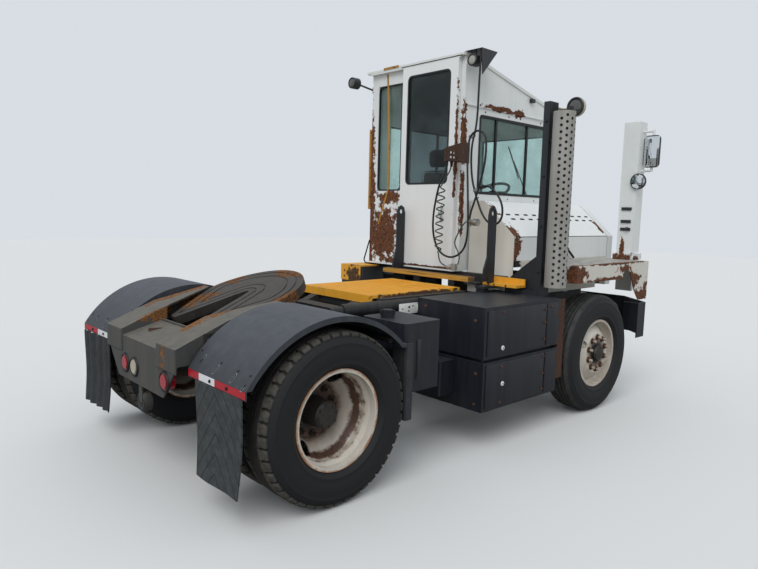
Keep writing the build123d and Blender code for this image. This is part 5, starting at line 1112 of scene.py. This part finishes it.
def cab_trim():
    """Drip rail, corner bead, marker lamp, bolts, tie-down strip, strut, door lock and wiper."""
    rail = extruded(on_x(2.205, rail_section), (1.59, 0, 0))
    bead = bar((2.2005, -0.165, 1.2), (2.2005, -0.165, 3.06), 0.0065, 12)
    finish([rail, bead], "drip_rail", "cab", "cab_enamel")
    marker = slab((3.185, -0.2, 2.818), (3.245, -0.164, 2.856), 0.006, 3)
    finish(marker, "marker_lamp", "cab", "lamp_shell")
    rows = [((2.199, -0.156, z), (-1, -0.4, 0), 0.007) for z in (2.088, 2.043)]
    rows += [((x, -cab_wall, 2.64), rightward, 0.006) for x in (2.5, 2.86, 3.05, 3.4)]
    rows += [((x, -cab_wall, 1.86), rightward, 0.005) for x in (2.45, 2.9, 3.35, 3.78)]
    bolted("cab_bolts", "cab", rows)
    strip = extruded(on_x(2.1975, strip_outline), (0.0025, 0, 0))
    top = slab((2.15, 0.64, 3.1), (2.1565, 0.85, 3.122), 0.001)
    finish([strip, top], "tie_down_strip", "cab", "handle_yellow")
    strut = [bar(a, b, 0.007, 14) for a, b in zip(strut_route, strut_route[1:])]
    finish(strut, "step_strut", "cab", "post_black")
    lock = lathe(((0.0005, -0.014), (0.01, -0.014), (0.013, -0.012), (0.016, -0.006), (0.019, -0.004),
                  (0.019, 0.003)), (2.157, 0.043, 1.709), "X", 24)
    pull = slab((2.133, 0.005, 1.64), (2.143, 0.02, 1.78), 0.004, 3)
    feet = [slab((2.14, 0.006, z), (2.158, 0.019, z + 0.02), 0.002) for z in (1.645, 1.755)]
    finish([lock, pull] + feet, "door_lock", "rear_door", "zinc_plate")
    wiper = [bar((3.932, 0.3, 1.9), (3.934, 0.52, 2.33), 0.006, 12),
             bar((3.93, 0.44, 2.13), (3.93, 0.6, 2.5), 0.008, 12)]
    finish(wiper, "wiper", "cab", "lamp_shell")


def lamp_trim():
    """Lenses and rims of the work lamps, headlamps and the lamp at the stack."""
    rim = ((0.04, -0.006), (0.048, -0.009), (0.053, -0.005), (0.054, 0.012), (0.04, 0.012), (0.04, -0.006))
    lens = ((0.0005, -0.01), (0.02, -0.009), (0.034, -0.006), (0.042, -0.002), (0.042, 0.004))
    for name, body, centre, size, glass in (
            ("right_work_lamp", "cab", (2.1645, -0.261, 3.032), 0.94, "lamp_glass"),
            ("left_work_lamp", "cab", (2.0095, 1.167, 3), 1.02, "smoked_glass"),
            ("stack_lamp", "chassis", (2.3735, -1.157, 2.57), 1.4, "smoked_glass")):
        for part, profile, look in (("_rim", rim, "lamp_shell"), ("_lens", lens, glass)):
            scaled = [(r * size, along * size) for r, along in profile]
            finish(lathe(scaled, centre, "X", 36), name + part, body, look)
    head_glass = ((0.0005, 0.004), (0.04, 0.003), (0.07, -0.001), (0.086, -0.008))
    head_ring = ((0.084, -0.012), (0.09, -0.004), (0.099, -0.001), (0.101, -0.006), (0.101, -0.012),
                 (0.084, -0.012))
    for side, where in sides:
        for name, profile, x, look in (("headlamp_glass_", head_glass, 4.0855, "lamp_glass"),
                                       ("headlamp_ring_", head_ring, 4.0905, "zinc_plate")):
            finish(lathe(profile, (x, side * 0.69, 0.745), "X", 40), name + where, "chassis", look)


def mirror_glass():
    """Silvered plates on the mirror backs, facing the rear."""
    dome = ((0.0005, -0.009), (0.03, -0.0075), (0.055, -0.003), (0.068, 0.001))
    for (side, where), body, flat_x, dome_x, dome_y in zip(
            sides, ("cab", "chassis"), (3.9735, 3.7735), (3.9675, 3.6945), (1.157, -1.081)):
        low, high = sorted((side * 1.087, side * 1.227))
        flat = slab((flat_x - 0.0012, low, 2.2), (flat_x + 0.001, high, 2.48), 0.0006)
        finish(flat, "flat_mirror_" + where, body, "mirror_silver")
        round_glass = lathe(dome, (dome_x, dome_y, 2.057), "X", 36)
        finish(round_glass, "round_mirror_" + where, body, "mirror_silver")


def post_trim():
    """Clamps of the mirror post, and the bolts of both posts."""
    clamps = [slab((3.708, -1.03, z), (3.722, -0.93, z + 0.03), 0.003) for z in (1.585, 1.66, 1.782)]
    knob_section = ((0.0005, -0.02), (0.014, -0.02), (0.018, -0.014), (0.018, 0.004))
    knob = lathe(knob_section, (3.712, -1, 1.603), "X", 20)
    finish(clamps + [knob], "post_clamps", "chassis", "lamp_shell")
    rows = [((2.2015, -1.01, z), rearward, 0.01) for z in (1.25, 1.62, 2.02, 2.45)]
    bolted("stack_post_bolts", "chassis", rows, "bolt_black")
    rows = [((x, y, 1.3055), upward, 0.01) for x in (3.7, 3.88) for y in (-1.08, -0.885)]
    bolted("post_foot_bolts", "chassis", rows)


# ---- hood, deck and steps


def hood_trim():
    """Air slots in two rows along the slope, shoulder seam, bulkhead edge and the rubber latch."""
    slope, slot_pitch = (0, -0.681, 0.732), 0.1365
    # the air slots and the shoulder seam are black sheets of painted shade
    corners = [(x, y, 0) for x, y in rectangle((-0.031, -0.009), (0.031, 0.009))]
    source = extruded(rounded(corners, 0.004, 3), (0, 0, 0.0012))
    frames = [facing(point(first + slot_pitch * k, y, z), slope, (1, 0, 0))
              for y, z, first in ((-0.47, 1.711, 2.502), (-0.512, 1.67194, 2.525)) for k in range(11)]
    finish(copied(source, frames), "hood_air_slots", "hood", "void_black")
    seam = slab((2.338, -0.6765, 1.517), (3.953, -0.67, 1.5225), 0.001)
    finish(seam, "hood_seam", "hood", "void_black")
    latch = [bar((3.15, -0.702, 1.402), (3.26, -0.708, 1.318), 0.011, 16, 0.003),
             bar((3.15, -0.716, 1.402), (3.15, -0.674, 1.402), 0.012, 16, 0.003)]
    finish(latch, "hood_latch", "hood", "seal_rubber")
    rows = [((2.334, y, z), rearward, 0.006) for y, z in ((-0.3, 1.79), (-0.55, 1.6), (-0.65, 1.44))]
    bolted("hood_edge_bolts", "hood", rows)


def step_trim():
    """Bolts of the steps, plank and yellow bracket, the white rail plate, and slats on the yellow deck."""
    rows = [((2.0995, y, 1.119), rearward, 0.007) for y in (-0.59, -0.65, -0.77)]
    rows += [((1.9475, y, z), rearward, 0.008) for y in (0.95, 1.15) for z in (1.04, 1.095)]
    rows += [((2.01, y, 1.1705), upward, 0.009) for y in (-0.43, 0.06, 0.545)]
    bolted("step_bolts", "chassis", rows)
    slat_pitch = 0.042
    slats = [slab((x, -0.4, 1.0795), (x + 0.008, 0.4, 1.083), 0.0012, 1)
             for x in [0.93 + slat_pitch * k for k in range(23)]]
    finish(slats, "boom_deck_ridges", "boom", "step_yellow")
    plate = [slab((1.095, -0.538, 0.934), (1.3, -0.533, 1.015), 0.001),
             slab((1.29, -0.548, 0.95), (1.362, -0.533, 1), 0.001)]
    finish(plate, "rail_plate", "chassis", "plate_white")
    # the plate's holes are black discs of painted shade
    holes = [bar((x, -0.5386, z), (x, -0.5376, z), r, 20) for x, z, r in (
        (1.2, 0.985, 0.01), (1.197, 0.956, 0.007), (1.24, 0.992, 0.007), (1.13, 0.975, 0.006))]
    finish(holes, "rail_plate_holes", "chassis", "void_black")


# ---- side box and tank


def side_box_trim():
    """Cover panels with folded edges and a seam near the front, their bolts and white plugs."""
    face = -1.2085
    panels = [slab((x0, -1.208, z0), (x1, -1.1995, z1), 0.0035, 3)
              for x0, x1 in ((1.315, 2.046), (2.06, 2.21)) for z0, z1 in ((0.32, 0.64), (0.7, 1.03))]
    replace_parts(finish(panels, "side_box_panels", "chassis", "box_black"), "side_box_covers")
    rows = [((1.2845, y, z), rearward, r) for y, z, r in (
        (-0.633, 0.999, 0.01), (-1.116, 0.954, 0.01), (-1.136, 0.575, 0.01), (-0.86, 0.6, 0.007),
        (-1.13, 0.35, 0.008), (-0.86, 0.36, 0.007))]
    rows += [((x, face, z), rightward, 0.009) for x, z in (
        (1.484, 1.01), (2.03, 0.985), (2.03, 0.882), (2.03, 0.749), (2.03, 0.613), (2.03, 0.478),
        (2.03, 0.35), (2.12, 1), (1.484, 0.345), (1.49, 0.61))]
    bolted("side_box_bolts", "chassis", rows)
    places = ((1.495, 0.748), (1.51, 0.481))
    plug = ((0.0005, -0.006), (0.01, -0.006), (0.016, -0.004), (0.018, 0.0005))
    finish([lathe(plug, (x, face, z), "Y", 24) for x, z in places],
           "side_box_plugs", "chassis", "plate_white")
    # black discs of painted shade in the plugs' middles
    finish([bar((x, face - 0.007, z), (x, face - 0.005, z), 0.005, 12) for x, z in places],
           "plug_centres", "chassis", "void_black")


def tank_trim():
    """Filler cap's ridges and the sight gauge of the hydraulic tank."""
    cap_r, count = 0.047, 18
    feet = [(0.638 + cap_r * math.cos(math.tau * k / count), -0.89 + cap_r * math.sin(math.tau * k / count))
            for k in range(count)]
    finish([bar((x, y, 1.026), (x, y, 1.056), 0.0045, 8) for x, y in feet],
           "tank_cap_ridges", "chassis", "lamp_shell")
    gauge = [slab((0.655, -1.1545, 0.64), (0.69, -1.1495, 0.9), 0.002),
             slab((0.66, -1.1565, 0.66), (0.685, -1.1535, 0.88), 0.001)]
    finish(gauge, "tank_sight_gauge", "chassis", "lamp_shell")


# ---- seat: name, corners, edge radius and how far the cloth may swell

cushions = (
    ("seat_base", (2.652, 0.197, 1.56), (3.148, 0.693, 1.675), 0.04, 0.022),
    ("seat_back", (2.532, 0.212, 1.574), (2.648, 0.678, 2.15), 0.035, 0.022),
    ("head_pad", (2.54, 0.3, 2.16), (2.64, 0.59, 2.355), 0.035, 0.018))


def swell(piece, cap):
    """Cloth pressure fills the cover, and no point moves further than the cap."""
    start = [vertex.co.copy() for vertex in piece.data.vertices]
    cover = piece.modifiers.new("cover", "CLOTH")
    cover.settings.use_pressure = True
    cover.settings.uniform_pressure_force = 4
    cover.settings.effector_weights.gravity = 0
    for step in range(1, 21):
        bpy.context.scene.frame_set(step)
    filled = piece.evaluated_get(bpy.context.evaluated_depsgraph_get())
    ends = [vertex.co.copy() for vertex in filled.data.vertices]
    piece.modifiers.remove(cover)
    for vertex, here, there in zip(piece.data.vertices, start, ends):
        move = there - here
        if move.length > cap:
            move *= cap / move.length
        vertex.co = here + move
    bpy.context.scene.frame_set(1)


def sewn_cushion(name, low, high, edge, cap):
    """Foam cushion in its cover: block with round edges, remeshed, swollen and smoothed."""
    inner = Vector((cap * 0.55,) * 3)
    piece = block(point(*low) + inner, point(*high) - inner, edge, 4)
    remesh = piece.modifiers.new("cells", "REMESH")
    remesh.mode = "VOXEL"
    remesh.voxel_size = 0.01
    bpy.ops.object.modifier_apply(modifier="cells")
    swell(piece, cap)
    smooth = piece.modifiers.new("smooth", "SUBSURF")
    smooth.levels = smooth.render_levels = 1
    bpy.ops.object.modifier_apply(modifier="smooth")
    finish(piece, name, "cab", "seat_cloth", 60)
    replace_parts(piece, "seat_cushions")


def seat():
    """Seat base, back and head pad, with piping round the seams of the upright two."""
    inset, piping = 0.02, []
    for name, low, high, edge, cap in cushions:
        sewn_cushion(name, low, high, edge, cap)
        if name == "seat_base":
            continue
        seam = rectangle((low[1] + inset, low[2] + inset), (high[1] - inset, high[2] - inset))
        for x in (low[0] + inset, high[0] - inset):
            ring = rounded(on_x(x, seam), 0.045)
            piping += [rod(a, b, 0.0035, 8) for a, b in zip(ring, ring[1:] + ring[:1])]
    finish(piping, "seat_piping", "cab", "seal_rubber")


def line_trim():
    """Strain reliefs where the lines leave the cab and bracket."""
    relief = ((0.0095, -0.046), (0.0115, -0.046), (0.012, -0.03), (0.0145, -0.006), (0.016, -0.004),
              (0.016, 0.003), (0.0095, 0.003), (0.0095, -0.046))
    pieces = [lathe(relief, place, "Z", 24)
              for place in ((1.976, -0.18, 2.16), (2.192, -0.331, 3.119), (2.036, -0.182, 2.16))]
    finish(pieces, "line_reliefs", "cab", "seal_rubber")


def add_studio():
    """Pale floor, soft sky and one broad sun."""
    bpy.ops.mesh.primitive_plane_add(size=60, location=(0, 0, 0))
    floor = bpy.context.active_object
    floor.name = "floor"
    tree, shader = start_material("floor_pale")[:2]
    seen = add(tree, "LightPath", output="Is Camera Ray")
    tone = add(tree, "Mix", {0: seen, 6: linear("8f8d88"), 7: linear("dcdcda")}, 2, data_type="RGBA")
    feed(tree, shader, {"Base Color": tone, "Roughness": 0.9})
    floor.data.materials.append(make["floor_pale"])
    world = bpy.data.worlds.new("studio")
    bpy.context.scene.world = world
    world.use_nodes = True
    sky = world.node_tree.nodes["Background"]
    sky.inputs["Color"].default_value = linear("e8eef5")
    sky.inputs["Strength"].default_value = 0.85
    sun = bpy.data.lights.new("sun", "SUN")
    sun.energy = 1.3
    sun.angle = 0.7
    lamp = bpy.data.objects.new("sun", sun)
    lamp.rotation_euler = [math.radians(turn) for turn in (38, -22, -35)]
    bpy.context.scene.collection.objects.link(lamp)
    bpy.context.scene.view_settings.view_transform = "Standard"


add_camera()
add_studio()
dress_frame()
trailer_lines()
all_tyres()
wheel_trim()
mud_flaps()
fender_trim()
cab_seals()
cab_trim()
lamp_trim()
mirror_glass()
post_trim()
hood_trim()
step_trim()
side_box_trim()
tank_trim()
seat()
line_trim()
